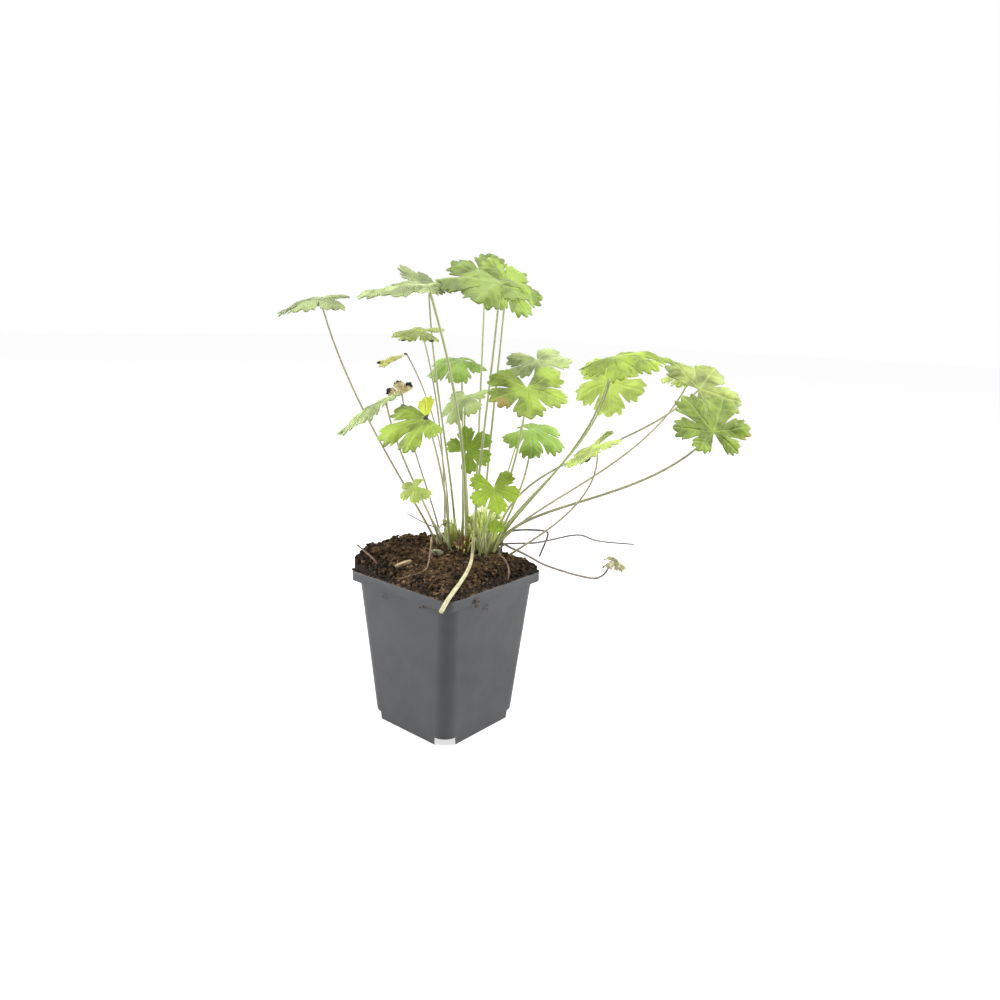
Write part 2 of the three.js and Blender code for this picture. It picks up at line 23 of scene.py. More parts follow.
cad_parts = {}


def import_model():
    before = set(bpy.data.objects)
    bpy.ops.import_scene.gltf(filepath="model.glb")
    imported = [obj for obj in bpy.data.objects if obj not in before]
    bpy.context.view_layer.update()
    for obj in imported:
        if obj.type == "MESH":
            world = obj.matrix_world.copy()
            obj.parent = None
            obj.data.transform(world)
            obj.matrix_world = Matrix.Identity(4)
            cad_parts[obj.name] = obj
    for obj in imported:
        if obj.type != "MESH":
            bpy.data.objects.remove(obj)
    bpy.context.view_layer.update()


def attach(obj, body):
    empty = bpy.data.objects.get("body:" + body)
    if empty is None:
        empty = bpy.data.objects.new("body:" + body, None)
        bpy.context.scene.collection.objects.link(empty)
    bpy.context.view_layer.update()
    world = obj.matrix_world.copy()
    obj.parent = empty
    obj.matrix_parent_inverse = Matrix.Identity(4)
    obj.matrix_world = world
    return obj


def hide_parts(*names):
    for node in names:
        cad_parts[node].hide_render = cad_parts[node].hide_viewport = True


LOG = logging.getLogger("geranium")
MM = 0.001
PLANT_TURN = 44.0  # degrees from the pot's X to the plant's own X
POT_PLACING = Matrix.Scale(MM, 4)
PLANT_PLACING = Matrix.Rotation(math.radians(PLANT_TURN), 4, "Z") @ POT_PLACING
GOLDEN_ANGLE = 137.5
Point = Sequence[float]
Colour = tuple[float, float, float]
Faces = list[tuple[int, ...]]

# ------------------------------------------------ the plant's measures, shared with its solids

ROOT_LEVEL = 101.0  # height where the stalks leave the rootstock
STALK_FOOT = 1.1  # radius of a stalk at its foot
STALK_NECK = 0.7  # radius of a stalk under its blade
LOBE_FALL = 0.07  # how much shorter each lobe is than the one before it, counted from the middle
CUP = 0.1  # slope of the blade up from the hub
WAVE = 0.05  # height of the blade's waves, as a share of its size
SINUS = 0.36  # share of a lobe's length where it parts from its neighbours

# One row for each leaf, in Leaf's terms: name, hub, root, (size, lobes, spread), (turn, lean, to),
# (droop, fold, stretch), (lift, arrive, stout).
LEAF_ROWS = (
    ("leaf_01", (-82, 28, 269), (-3, 20.5), (30, 5, 61), (180, 10, 232), (40, -0.2, 0.05), (18, 12, 1)),
    ("leaf_02", (-14, -16, 278), (12.5, 8), (33, 5, 52), (172, 9, 248), (18, -0.25, 0.35), (60, -12, 1.3)),
    ("leaf_03", (-15, 40, 280), (6, 28), (24, 5, 58), (160, 28, 330), (5, -0.2, 0), (50, 4, 1)),
    ("leaf_04", (27, -30, 280), (17, 4), (32, 5, 61), (182, 20, 305), (26, -0.35, 0.25), (60, 0, 1)),
    ("leaf_05", (22, 54, 285), (18.5, 28.5), (33, 5, 61), (80, 38, 275), (16, -0.2, 0), (50, 0, 1)),
    ("leaf_06", (34, 26, 281), (24, 27), (29, 5, 58), (10, 46, 295), (26, -0.2, 0), (60, 0, 1)),
    ("leaf_07", (-18, 15, 251), (-1.5, 24), (21, 5, 61), (170, 14, 268), (30, -0.2, 0), (40, -10, 0.8)),
    ("leaf_08", (8, 64, 231), (10.5, 24), (27, 5, 61), (200, 14, 265), (48, -0.3, 0.1), (40, 0, 1)),
    ("leaf_09", (10, 23, 211), (14.5, 26.5), (22, 5, 52), (225, 36, 215), (34, -0.25, 0.15), (40, 5, 1)),
    ("leaf_10", (43, -42, 223), (25, 7), (29, 5, 63), (272, 34, 270), (18, -0.12, -0.1), (30, 20, 1)),
    ("leaf_11", (59, 55, 233), (28, 28), (27, 5, 65), (285, 26, 255), (18, -0.2, 0), (30, 5, 0.8)),
    ("leaf_12", (98, -7, 239.5), (29.5, 12.5), (36, 7, 47), (0, 17, 190), (50, -0.25, 0.15), (34, 24, 1)),
    ("leaf_13", (106, 37, 222), (30.5, 25), (29, 5, 68), (84, 58, 90), (35, -0.2, 0), (34, 22, 1)),
    ("leaf_14", (165, 48, 229), (31, 21), (25, 5, 61), (165, 14, 235), (38, -0.2, 0), (36, 28, 1)),
    ("leaf_15", (160, 15, 220), (30.5, 17), (33, 4, 66), (25, 42, 280), (22, -0.2, 0), (76, 4, 1)),
    ("leaf_16", (156.6, -31, 199), (28.5, 9), (28.5, 6, 54), (97, 48, 278), (16, -0.15, 0.2), (48, 18, 1.2)),
    ("leaf_17", (-13, -42, 204.5), (1.5, 10.5), (24, 5, 48), (186, 38, 240), (14, -0.2, 0.36), (40, -15, 1)),
    ("leaf_18", (-39.2, -2, 210.6), (-2, 13.5), (32, 5, 44), (196, 27, 176), (26, -0.3, 0.25), (26, 10, 1)),
    ("leaf_19", (-18, -44, 165), (5, 9), (13, 5, 55), (200, 34, 250), (45, -0.2, 0), (16, 10, 0.8)),
    ("leaf_20", (12, 14, 177), (9, 12), (18.5, 5, 61), (30, 68, 260), (18, -0.15, 0), (26, 0, 0.9)),
    ("leaf_21", (50, -6, 194), (27.5, 4.5), (25, 5, 61), (330, 22, 270), (55, -0.25, 0.05), (22, 20, 1)),
    ("leaf_22", (26, -42, 165), (20.5, 3), (18, 5, 61), (280, 52, 270), (20, -0.1, 0), (22, 15, 0.9)),
    ("leaf_23", (88, -25, 188), (31.5, 5.5), (24, 5, 61), (180, 32, 180), (16, -0.2, 0), (10, 50, 0.9)),
    ("young_leaf", (27.5, -14.5, 130.5), (24, 0.5), (9.5, 3, 44), (70, 72, 270), (10, -0.3, 0), (10, 0, 0.8)),
)
WITHERED_ROWS = (
    ("withered_leaf_1", (-28, 30, 236), (1.5, 27.5), (21, 1, 36), (185, 12, 200), (24, -0.9, 0),
     (30, -18, 0.7)),
    ("withered_leaf_2", (-30, 12, 212), (-2.5, 17), (12, 3, 50), (110, 70, 270), (40, -0.6, 0), (30, 5, 0.8)),
)
FALLEN_BLADE_ROW = (
    "fallen_blade", (113, 19, 103), (0, 0), (14, 5, 54), (345, 16, 350), (46, -0.8, -0.25), (0, 0, 1),
)


class Slot(Enum):
    """The record's material slots."""

    POT = "pot"
    SOIL = "soil"
    CROWN = "crown"
    LEAF = "leaf"
    WITHERED = "withered_leaf"
    STEM = "dead_stem"
    ROOT = "root"
    CHIP = "wood_chip"
    MOSS = "moss"


class Tint(Enum):
    """A kind of leaf: the sRGB colours of its upper and its lower side."""

    FRESH = ("#778f24", "#93a642")
    DEEP = ("#6e8927", "#869b3c")
    OLIVE = ("#8a9545", "#9ba659")
    GREY = ("#8d9d5b", "#9ead6c")
    PALE = ("#9eae52", "#a6b659")
    BRIGHT = ("#859d1d", "#9eb135")


class BlemishOrShade(Enum):
    """What a patch of a leaf looks like, and the mesh attribute that says where; the dark patch is painted
    shade.
    """

    # the dark patch is painted shade, on lobes that lie in shade
    DARK = "dark"
    YELLOW = "yellow"
    BROWN = "brown"
    BLACK = "black"


# Each leaf's kind, how much lighter it is than that (or darker, below 0), and how tan its stalk is. How much
# lighter is partly the leaf's own tone and partly painted light and shade, lighter where others shade it.
LEAF_LOOKS: dict[str, tuple[Tint, float, float]] = {
    "leaf_01": (Tint.GREY, -0.22, 0.85), "leaf_02": (Tint.GREY, 0.0, 0.3),
    "leaf_03": (Tint.GREY, -0.35, 0.4), "leaf_04": (Tint.FRESH, -0.2, 0.3),
    "leaf_05": (Tint.FRESH, -0.28, 0.3), "leaf_06": (Tint.FRESH, 0.0, 0.4),
    "leaf_07": (Tint.OLIVE, 0.3, 0.6), "leaf_08": (Tint.DEEP, 0.4, 0.3),
    "leaf_09": (Tint.GREY, 0.1, 0.2), "leaf_10": (Tint.BRIGHT, -0.1, 0.2),
    "leaf_11": (Tint.GREY, -0.05, 0.2), "leaf_12": (Tint.BRIGHT, 0.05, 0.1),
    "leaf_13": (Tint.PALE, 0.5, 0.3), "leaf_14": (Tint.PALE, 0.1, 0.8),
    "leaf_15": (Tint.PALE, -0.25, 0.7), "leaf_16": (Tint.FRESH, -0.05, 0.7),
    "leaf_17": (Tint.BRIGHT, -0.1, 0.5), "leaf_18": (Tint.GREY, 0.15, 0.7),
    "leaf_19": (Tint.PALE, 0.35, 0.4), "leaf_20": (Tint.FRESH, 0.5, 0.1),
    "leaf_21": (Tint.DEEP, 0.5, 0.3), "leaf_22": (Tint.BRIGHT, 0.35, 0.1),
    "leaf_23": (Tint.PALE, 0.1, 0.9), "young_leaf": (Tint.BRIGHT, 0.3, 0.0),
    "withered_leaf_1": (Tint.PALE, 0.0, 1.0), "withered_leaf_2": (Tint.PALE, 0.0, 1.0),
}


@dataclass(frozen=True)
class Spot:
    """A patch on a leaf: which leaf and lobe, its place (share across, share out) and its radius in mm."""

    leaf: str
    lobe: int
    across: float
    out: float
    radius: float
    kind: BlemishOrShade


# The dark patches are painted shade on shaded lobes; the yellow, brown and black ones are real blemishes.
SPOTS = (
    Spot("leaf_02", 3, 0.0, 0.75, 14.0, BlemishOrShade.DARK),
    Spot("leaf_02", 2, -0.6, 0.6, 9.0, BlemishOrShade.DARK),
    Spot("leaf_03", 1, 0.0, 0.6, 12.0, BlemishOrShade.DARK),
    Spot("leaf_07", 3, 0.0, 0.97, 1.8, BlemishOrShade.BLACK),
    Spot("leaf_07", 4, 0.0, 0.97, 2.0, BlemishOrShade.BLACK),
    Spot("leaf_10", 1, 0.45, 0.8, 4.5, BlemishOrShade.BROWN),
    Spot("leaf_10", 3, -0.75, 0.85, 1.3, BlemishOrShade.BLACK),
    Spot("leaf_10", 1, 0.8, 0.88, 1.5, BlemishOrShade.BLACK),
    Spot("leaf_12", 0, 0.0, 0.4, 16.0, BlemishOrShade.DARK),
    Spot("leaf_12", 6, 0.0, 0.4, 16.0, BlemishOrShade.DARK),
    Spot("leaf_12", 4, 0.0, 0.5, 12.0, BlemishOrShade.DARK),
    Spot("leaf_16", 1, -0.75, 0.9, 4.0, BlemishOrShade.BROWN),
    Spot("leaf_17", 0, 0.0, 0.72, 14.0, BlemishOrShade.YELLOW),
    Spot("leaf_17", 0, 0.0, 0.03, 2.2, BlemishOrShade.BLACK),
    Spot("leaf_17", 1, 0.3, 1.0, 1.2, BlemishOrShade.BLACK),
    Spot("leaf_17", 2, 0.6, 0.96, 1.3, BlemishOrShade.BLACK),
    Spot("leaf_17", 0, -0.6, 0.92, 1.3, BlemishOrShade.BLACK),
    Spot("leaf_23", 3, 0.0, 1.0, 3.0, BlemishOrShade.BLACK),
    Spot("withered_leaf_1", 0, 0.0, 1.0, 3.0, BlemishOrShade.BLACK),
    Spot("withered_leaf_1", 0, 0.0, 0.0, 2.0, BlemishOrShade.BLACK),
    Spot("withered_leaf_2", 0, 0.0, 1.0, 3.5, BlemishOrShade.BLACK),
    Spot("withered_leaf_2", 1, 0.0, 1.0, 3.0, BlemishOrShade.BLACK),
    Spot("withered_leaf_2", 2, 0.0, 1.0, 3.5, BlemishOrShade.BLACK),
)
LEAF_LAYERS = (*(kind.value for kind in BlemishOrShade), "lift", "rise", "tan")
UV_NAME = "surface"
SIDE_VEINS = 5.6  # side veins along a lobe
VEIN_SLOPE = 0.31  # how far they run out on their way from the midrib to the lobe's side

# ---------------------------------------------------------------- mesh helpers


def toward(bearing: float, elevation: float = 0.0) -> Vector:
    """Gives the unit vector at a bearing and an elevation.

    Args:
        bearing: degrees from X towards Y.
        elevation: degrees up from the level.

    Returns:
        The vector.
    """
    level = math.cos(math.radians(elevation))
    turn = math.radians(bearing)
    return Vector((level * math.cos(turn), level * math.sin(turn), math.sin(math.radians(elevation))))


class MeshData:
    """A mesh in millimetres, gathered surface by surface, with numbers at points and materials on faces."""

    def __init__(self, *layers: str) -> None:
        """Starts an empty mesh with a number at each point for each of the named layers."""
        self.points: list[Point] = []
        self.faces: Faces = []
        self.materials: list[int] = []
        self.values: dict[str, list[float]] = {layer: [] for layer in layers}
        self.uvs: list[tuple[float, float]] = []

    def add(self, points: Sequence[Point], faces: Sequence[Sequence[int]], material: int = 0,
            uvs: Sequence[tuple[float, float]] | None = None, **values: Sequence[float] | float) -> None:
        """Adds one surface.

        Args:
            points: its vertices.
            faces: its faces, by the numbers of these vertices.
            material: number of its material slot.
            uvs: one pair for each corner of each face.
            values: for each layer one number for all the points, or one for each.
        """
        start = len(self.points)
        self.points.extend(points)
        self.faces.extend(tuple(start + i for i in face) for face in faces)
        self.materials.extend([material] * len(faces))
        for layer, column in self.values.items():
            value = values.get(layer, 0.0)
            column.extend([float(value)] * len(points) if isinstance(value, (int, float)) else value)
        corners = sum(len(face) for face in faces)
        self.uvs.extend(uvs if uvs is not None else [(0.0, 0.0)] * corners)

    def piece(self, name: str, placing: Matrix, materials: Sequence[bpy.types.Material]) -> bpy.types.Object:
        """Makes the mesh object, smooth shaded.

        Args:
            name: the piece's name.
            placing: from these millimetres to the row frame in metres.
            materials: its material slots.

        Returns:
            The object, at the origin, with its vertices in place.
        """
        mesh = bpy.data.meshes.new(name)
        mesh.from_pydata([tuple(p) for p in self.points], [], self.faces)
        mesh.transform(placing)
        for material in materials:
            mesh.materials.append(material)
        mesh.polygons.foreach_set("material_index", self.materials)
        mesh.polygons.foreach_set("use_smooth", [True] * len(self.faces))
        for layer, column in self.values.items():
            mesh.attributes.new(layer, "FLOAT", "POINT").data.foreach_set("value", column)
        mesh.uv_layers.new(name=UV_NAME).data.foreach_set("uv", [number for uv in self.uvs for number in uv])
        mesh.update()
        piece = bpy.data.objects.new(name, mesh)
        bpy.context.scene.collection.objects.link(piece)
        return piece


def declare(piece: bpy.types.Object, slot: Slot, *nodes: str) -> None:
    """Says what a finished piece is.

    Args:
        piece: the object.
        slot: the record's slot that its finish belongs to; not used.
        nodes: the solids that it stands for.
    """
    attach(piece, "root")
    if nodes:
        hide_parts(*nodes)
    LOG.info("%s: %d faces, for %s", piece.name, len(piece.data.polygons), ", ".join(nodes) or "no solid")


def smooth_path(points: Sequence[Point], steps: int) -> list[Vector]:
    """Runs a centripetal Catmull-Rom line through points.

    Args:
        points: where it passes.
        steps: how many steps it takes in each span.

    Returns:
        The line's points.
    """
    knots = [Vector(p) for p in points]
    knots = [2 * knots[0] - knots[1], *knots, 2 * knots[-1] - knots[-2]]
    line: list[Vector] = []
    for before, start, end, after in zip(knots, knots[1:], knots[2:], knots[3:]):
        times = [0.0]
        for a, b in ((before, start), (start, end), (end, after)):
            times.append(times[-1] + max(1e-6, (b - a).length ** 0.5))
        for s in range(steps):
            t = times[1] + (times[2] - times[1]) * s / steps
            first = [before.lerp(start, (t - times[0]) / (times[1] - times[0])),
                     start.lerp(end, (t - times[1]) / (times[2] - times[1])),
                     end.lerp(after, (t - times[2]) / (times[3] - times[2]))]
            second = [first[0].lerp(first[1], (t - times[0]) / (times[2] - times[0])),
                      first[1].lerp(first[2], (t - times[1]) / (times[3] - times[1]))]
            line.append(second[0].lerp(second[1], (t - times[1]) / (times[2] - times[1])))
    line.append(knots[-2].copy())
    return line


def tube(line: Sequence[Vector], radius: Callable[[float, float], float], sides: int,
         ) -> tuple[list[Vector], Faces, list[float]]:
    """Wraps a closed tube round a line.

    Args:
        line: its middle line.
        radius: gives the radius at a share of the way along and an angle.
        sides: points in each ring.

    Returns:
        The points, the faces, and each point's share of the way along.
    """
    points: list[Vector] = []
    along: list[float] = []
    across = Vector((1, 0, 0))
    last = len(line) - 1
    for i, middle in enumerate(line):
        heading = (line[min(i + 1, last)] - line[max(i - 1, 0)]).normalized()
        across = across - heading * across.dot(heading)
        across = across.normalized() if across.length > 1e-3 else heading.orthogonal().normalized()
        other = heading.cross(across)
        for k in range(sides):
            angle = 2 * math.pi * k / sides
            reach = radius(i / last, angle)
            points.append(middle + across * (reach * math.cos(angle)) + other * (reach * math.sin(angle)))
            along.append(i / last)
    faces: Faces = []
    for i in range(last):
        for k in range(sides):
            here, beside = i * sides + k, i * sides + (k + 1) % sides
            faces.append((here, beside, beside + sides, here + sides))
    faces.append(tuple(reversed(range(sides))))
    faces.append(tuple(range(last * sides, (last + 1) * sides)))
    return points, faces, along


def sheet_normals(points: np.ndarray, faces: Sequence[Sequence[int]]) -> np.ndarray:
    """Gives the unit normal at each point of a surface of triangles and quads.

    Args:
        points: the surface's points, one in each row.
        faces: its faces.

    Returns:
        The normals, one in each row.
    """
    normals = np.zeros_like(points)
    for size in (3, 4):
        ring = np.array([f for f in faces if len(f) == size], int).reshape(-1, size)
        across = points[ring[:, 2]] - points[ring[:, 0]]
        other = points[ring[:, size - 1]] - points[ring[:, 1]]
        for corner in range(size):
            np.add.at(normals, ring[:, corner], np.cross(across, other))
    return normals / np.maximum(np.linalg.norm(normals, axis=1, keepdims=True), 1e-12)


def rounded(u: float, v: float, half: float, corner: float) -> tuple[float, float]:
    """Draws a point of the square from -1 to 1 into a square with round corners.

    Args:
        u: first coordinate.
        v: second coordinate.
        half: half width of the rounded square.
        corner: its corner radius.

    Returns:
        The point.
    """
    x, y = u * half, v * half
    over_x, over_y = abs(x) - (half - corner), abs(y) - (half - corner)
    if over_x > 0 and over_y > 0:
        pull = max(over_x, over_y) / math.hypot(over_x, over_y)
        x = math.copysign(half - corner + over_x * pull, x)
        y = math.copysign(half - corner + over_y * pull, y)
    return x, y


def start_from_cube(size: Point, middle: Point = (0, 0, 0)) -> bpy.types.Object:
    """Adds a block to be shaped, alone selected and in edit mode.

    Args:
        size: its lengths along X, Y and Z.
        middle: its middle.

    Returns:
        The block's object.
    """
    bpy.ops.object.select_all(action="DESELECT")
    bpy.ops.mesh.primitive_cube_add(size=1)
    bpy.ops.object.mode_set(mode="EDIT")
    bpy.ops.transform.resize(value=size)
    bpy.ops.transform.translate(value=middle)
    return bpy.context.object


def choose(piece: bpy.types.Object, parts: str, wanted: Callable[[object], bool]) -> None:
    """Selects parts of a mesh in edit mode and nothing else.

    Args:
        piece: the object that is being edited.
        parts: verts, edges or faces.
        wanted: says of one such part whether it is taken.
    """
    mesh = bmesh.from_edit_mesh(piece.data)
    for part in (*mesh.verts, *mesh.edges, *mesh.faces):
        part.select_set(False)
    for part in getattr(mesh, parts):
        if wanted(part):
            part.select_set(True)
    bmesh.update_edit_mesh(piece.data)


def apply_modifier(piece: bpy.types.Object, kind: str, **settings: object) -> None:
    """Adds a modifier to a piece and applies it.

    Args:
        piece: the object.
        kind: the modifier's type.
        settings: its properties.
    """
    change = piece.modifiers.new(kind.lower(), kind)
    for key, value in settings.items():
        setattr(change, key, value)
    with bpy.context.temp_override(object=piece, active_object=piece, selected_objects=[piece]):
        bpy.ops.object.modifier_apply(modifier=change.name)


# ---------------------------------------------------------------- finishes

MATH = "ShaderNodeMath"
RANGE = "ShaderNodeMapRange"  # sockets: value, from low, from high, to low, to high
NOISE = "ShaderNodeTexNoise"
MIX = "ShaderNodeMix"  # sockets of a colour mix: 0 factor, 6 and 7 colours
BLEND = {"data_type": "RGBA"}
SMOOTH = {"interpolation_type": "SMOOTHSTEP"}


def linear(code: str) -> Colour:
    """Turns an sRGB hex value to linear light."""
    shares = [int(code[i : i + 2], 16) / 255 for i in (1, 3, 5)]
    return tuple(s / 12.92 if s <= 0.04045 else ((s + 0.055) / 1.055) ** 2.4 for s in shares)


def lighter(colour: Colour, share: float) -> Colour:
    """Gives the colour with that much more light, and a trace of white."""
    return tuple(c * (1 + share) + 0.06 * share for c in colour)


def darker(colour: Colour, share: float) -> Colour:
    """Gives the colour with that much less light."""
    return tuple(c * (1 - share) for c in colour)


def per(size: float) -> float:
    """Gives the scale of a texture whose features are that many millimetres wide."""
    return 1 / (size * MM)


def feed(node: bpy.types.Node, feeds: dict[object, object]) -> None:
    """Sets or links a node's inputs.

    Args:
        node: the node.
        feeds: for an input's name or number, a number, a colour, a socket, or a node, which stands for its
            first live output.
    """
    for key, source in feeds.items():
        socket = node.inputs[key]
        if isinstance(source, bpy.types.Node):
            source = next(output for output in source.outputs if output.enabled)
        if isinstance(source, bpy.types.NodeSocket):
            node.id_data.links.new(source, socket)
        elif socket.type == "RGBA":
            socket.default_value = (*source, 1.0)
        else:
            socket.default_value = source


def add_node(tree: bpy.types.NodeTree, kind: str, feeds: dict[object, object] | None = None,
             **settings: object) -> bpy.types.Node:
    """Adds a node with its settings and links.

    Args:
        tree: the node tree.
        kind: the node's type.
        feeds: its inputs, as feed takes them.
        settings: its properties.

    Returns:
        The node.
    """
    node = tree.nodes.new(kind)
    for key, value in settings.items():
        setattr(node, key, value)
    feed(node, feeds or {})
    return node


def blank_material(name: str) -> tuple[bpy.types.Material, Callable[..., bpy.types.Node], bpy.types.Node]:
    """Starts a node material.

    Args:
        name: its name.

    Returns:
        The material, add_node for its tree, and its principled shader.
    """
    material = bpy.data.materials.new(name)
    material.use_nodes = True
    tree = material.node_tree
    return material, partial(add_node, tree), tree.nodes["Principled BSDF"]


def let_through(material: bpy.types.Material, colour: bpy.types.Node, share: float) -> None:
    """Lets part of the light through a thin blade.

    Args:
        material: the blade's material.
        colour: the node that gives the colour of that light.
        share: how much of the shading it makes up.
    """
    tree = material.node_tree
    glow = add_node(tree, "ShaderNodeBsdfTranslucent", {"Color": colour})
    both = add_node(tree, "ShaderNodeMixShader", {0: share, 1: tree.nodes["Principled BSDF"], 2: glow})
    feed(tree.nodes["Material Output"], {"Surface": both})


@dataclass(frozen=True)
class LeafSkin:
    """The skin of a living geranium leaf: matt and finely hairy, so light grazes it with a faint pale sheen.

    The midribs and side veins are paler than the patchy blade between them, and light shows through it. The
    crests of its bumps carry a painted highlight, its rim a painted sheen, and its dark patches painted
    shade.
    """

    name: str
    tint: str
    relief: float  # how deep the veins lie, below 0 where they stand out
    patch: float = 15.0  # widths of the patterns in mm, like the next three
    hill: float = 5.3
    mesh_of_veins: float = 1.6
    ragged: float = 1.1
    rib_edge: float = 0.022  # half width of the midrib, as a share of the lobe
    rib_core: float = 0.006
    vein_edge: float = 0.1  # half width of a side vein, as a share of the way to the next
    vein_core: float = 0.01
    blackened: str = "#1d1914"
    browned: str = "#95863c"
    yellowed: str = "#bfc830"

    def veins(self, put: Callable[..., bpy.types.Node]) -> tuple[bpy.types.Node, bpy.types.Node]:
        """Draws the midrib and the side veins of each lobe on its UV map.

        Args:
            put: adds a node.

        Returns:
            The veins, from 0 to 1, and how far out on the lobe each place is.
        """
        split = put("ShaderNodeSeparateXYZ", {0: put("ShaderNodeUVMap", uv_map=UV_NAME)})
        out = put(MATH, {0: split.outputs["Y"], 1: 0.0}, operation="MAXIMUM")
        aside = put(MATH, {0: split.outputs["X"], 1: 0.5}, operation="SUBTRACT")
        aside = put(MATH, {0: aside}, operation="ABSOLUTE")
        off_rib = put(MATH, {0: aside, 1: out}, operation="MULTIPLY")
        rib = put(RANGE, {0: off_rib, 1: self.rib_edge, 2: self.rib_core}, **SMOOTH)
        rise = put(MATH, {0: aside, 1: -2 * VEIN_SLOPE, 2: out}, operation="MULTIPLY_ADD")
        count = put(MATH, {0: rise, 1: SIDE_VEINS}, operation="MULTIPLY")
        off_vein = put(MATH, {0: count, 1: 0.5}, operation="PINGPONG")
        vein = put(RANGE, {0: off_vein, 1: self.vein_edge, 2: self.vein_core}, **SMOOTH)
        beyond_hub = put(RANGE, {0: out, 1: 0.12, 2: 0.3, 4: 0.6}, **SMOOTH)
        side = put(MATH, {0: vein, 1: beyond_hub}, operation="MULTIPLY")
        return put(MATH, {0: rib, 1: side}, operation="MAXIMUM"), out

    def material(self) -> bpy.types.Material:
        """Builds the node material.

        Returns:
            The material.
        """
        material, put, shader = blank_material(self.name)
        tint = linear(self.tint)
        place = put("ShaderNodeTexCoord").outputs["Object"]
        veins, out = self.veins(put)
        net = put("ShaderNodeTexVoronoi", {"Vector": place, "Scale": per(self.mesh_of_veins)},
                  feature="DISTANCE_TO_EDGE")
        patches = put(NOISE, {"Vector": place, "Scale": per(self.patch), "Detail": 4.0})
        hills = put(NOISE, {"Vector": place, "Scale": per(self.hill), "Detail": 3.0})
        base = put(MIX, {0: put(RANGE, {0: patches, 1: 0.38, 2: 0.62}, **SMOOTH), 6: darker(tint, 0.48),
                         7: lighter(tint, 0.3)}, **BLEND)
        lift = put("ShaderNodeAttribute", attribute_name="lift")
        dark = put("ShaderNodeAttribute", attribute_name=BlemishOrShade.DARK.value)
        # painted highlight on the crests of the blade's bumps
        painted_hilltop_highlight = put(RANGE, {0: hills, 1: 0.35, 2: 0.7, 4: 0.35}, **SMOOTH)
        fine_net = put(RANGE, {0: net, 1: 0.1, 2: 0.0, 4: 0.16}, **SMOOTH)
        pale_veins = put(RANGE, {0: veins, 4: 0.55})
        pale_hub = put(RANGE, {0: out, 1: 0.22, 2: 0.0, 4: 0.3}, **SMOOTH)
        # painted sheen along the blade's rim
        painted_rim_sheen = put(RANGE, {0: out, 1: 0.9, 2: 1.05, 4: 0.35}, **SMOOTH)
        for factor, colour in (
            (painted_hilltop_highlight, lighter(tint, 0.35)),
            (fine_net, lighter(tint, 0.6)),
            (pale_veins, lighter(tint, 0.7)),
            (pale_hub, lighter(tint, 0.7)),
            (painted_rim_sheen, lighter(tint, 0.35)),
            # the leaf's lift: partly its own tone, partly painted light and shade
            (put(RANGE, {0: lift}), lighter(tint, 1.0)),
            (put(RANGE, {0: lift, 2: -1.0}), darker(tint, 1.0)),
            # painted shade where the dark patches lie
            (put(RANGE, {0: dark, 4: 0.8}), darker(tint, 0.4)),
        ):
            base = put(MIX, {0: factor, 6: base, 7: colour}, **BLEND)
        fray = put(NOISE, {"Vector": place, "Scale": per(self.ragged), "Detail": 2.0})
        for kind, dead in ((BlemishOrShade.YELLOW, self.yellowed), (BlemishOrShade.BROWN, self.browned),
                           (BlemishOrShade.BLACK, self.blackened)):
            layer = put("ShaderNodeAttribute", attribute_name=kind.value)
            frayed = put(MATH, {0: fray, 1: 0.5, 2: layer}, operation="MULTIPLY_ADD")
            factor = put(RANGE, {0: frayed, 1: 0.63, 2: 0.87}, **SMOOTH)
            base = put(MIX, {0: factor, 6: base, 7: linear(dead)}, **BLEND)
        swell = put(NOISE, {"Vector": place, "Scale": per(self.hill), "Detail": 0.0})
        sunk = put(MATH, {0: veins, 1: -self.relief}, operation="MULTIPLY")
        height = put(MATH, {0: sunk, 1: put(RANGE, {0: swell, 4: 0.4})}, operation="ADD")
        bump = put("ShaderNodeBump", {"Height": height, "Distance": 0.12 * MM})
        feed(shader, {"Base Color": base, "Roughness": 0.55, "Specular IOR Level": 0.35, "Sheen Weight": 0.2,
                      "Sheen Roughness": 0.5, "Normal": bump})
        let_through(material, base, 0.28)
        return material


@dataclass(frozen=True)
class StalkSkin:
    """The skin of a leaf stalk: downy, so it has a soft sheen, and green or tan, with a paler foot."""

    name: str = "stalk"
    green: tuple[str, str] = ("#828f52", "#a2aa73")
    tan: tuple[str, str] = ("#857d6a", "#aca68d")
    foot: tuple[str, str] = ("#a4b356", "#cad287")
    grain: float = 3.8  # widths of the patterns in mm, like the next one
    hairs: float = 1.1

    def material(self) -> bpy.types.Material:
        """Builds the node material.

        Returns:
            The material.
        """
        material, put, shader = blank_material(self.name)
        place = put("ShaderNodeTexCoord").outputs["Object"]
        grain = put(NOISE, {"Vector": place, "Scale": per(self.grain), "Detail": 3.0})
        green, tan, foot = (put(MIX, {0: grain, 6: linear(dark), 7: linear(light)}, **BLEND)
                            for dark, light in (self.green, self.tan, self.foot))
        base = put(MIX, {0: put("ShaderNodeAttribute", attribute_name="tan"), 6: green, 7: tan}, **BLEND)
        rise = put("ShaderNodeAttribute", attribute_name="rise")
        base = put(MIX, {0: put(RANGE, {0: rise, 1: 0.26, 2: 0.04}, **SMOOTH), 6: base, 7: foot}, **BLEND)
        hairs = put(NOISE, {"Vector": place, "Scale": per(self.hairs), "Detail": 2.0})
        feed(shader, {"Base Color": base, "Roughness": 0.5, "Sheen Weight": 0.4, "Sheen Roughness": 0.4,
                      "Normal": put("ShaderNodeBump", {"Height": hairs, "Distance": 0.2 * MM})})
        return material


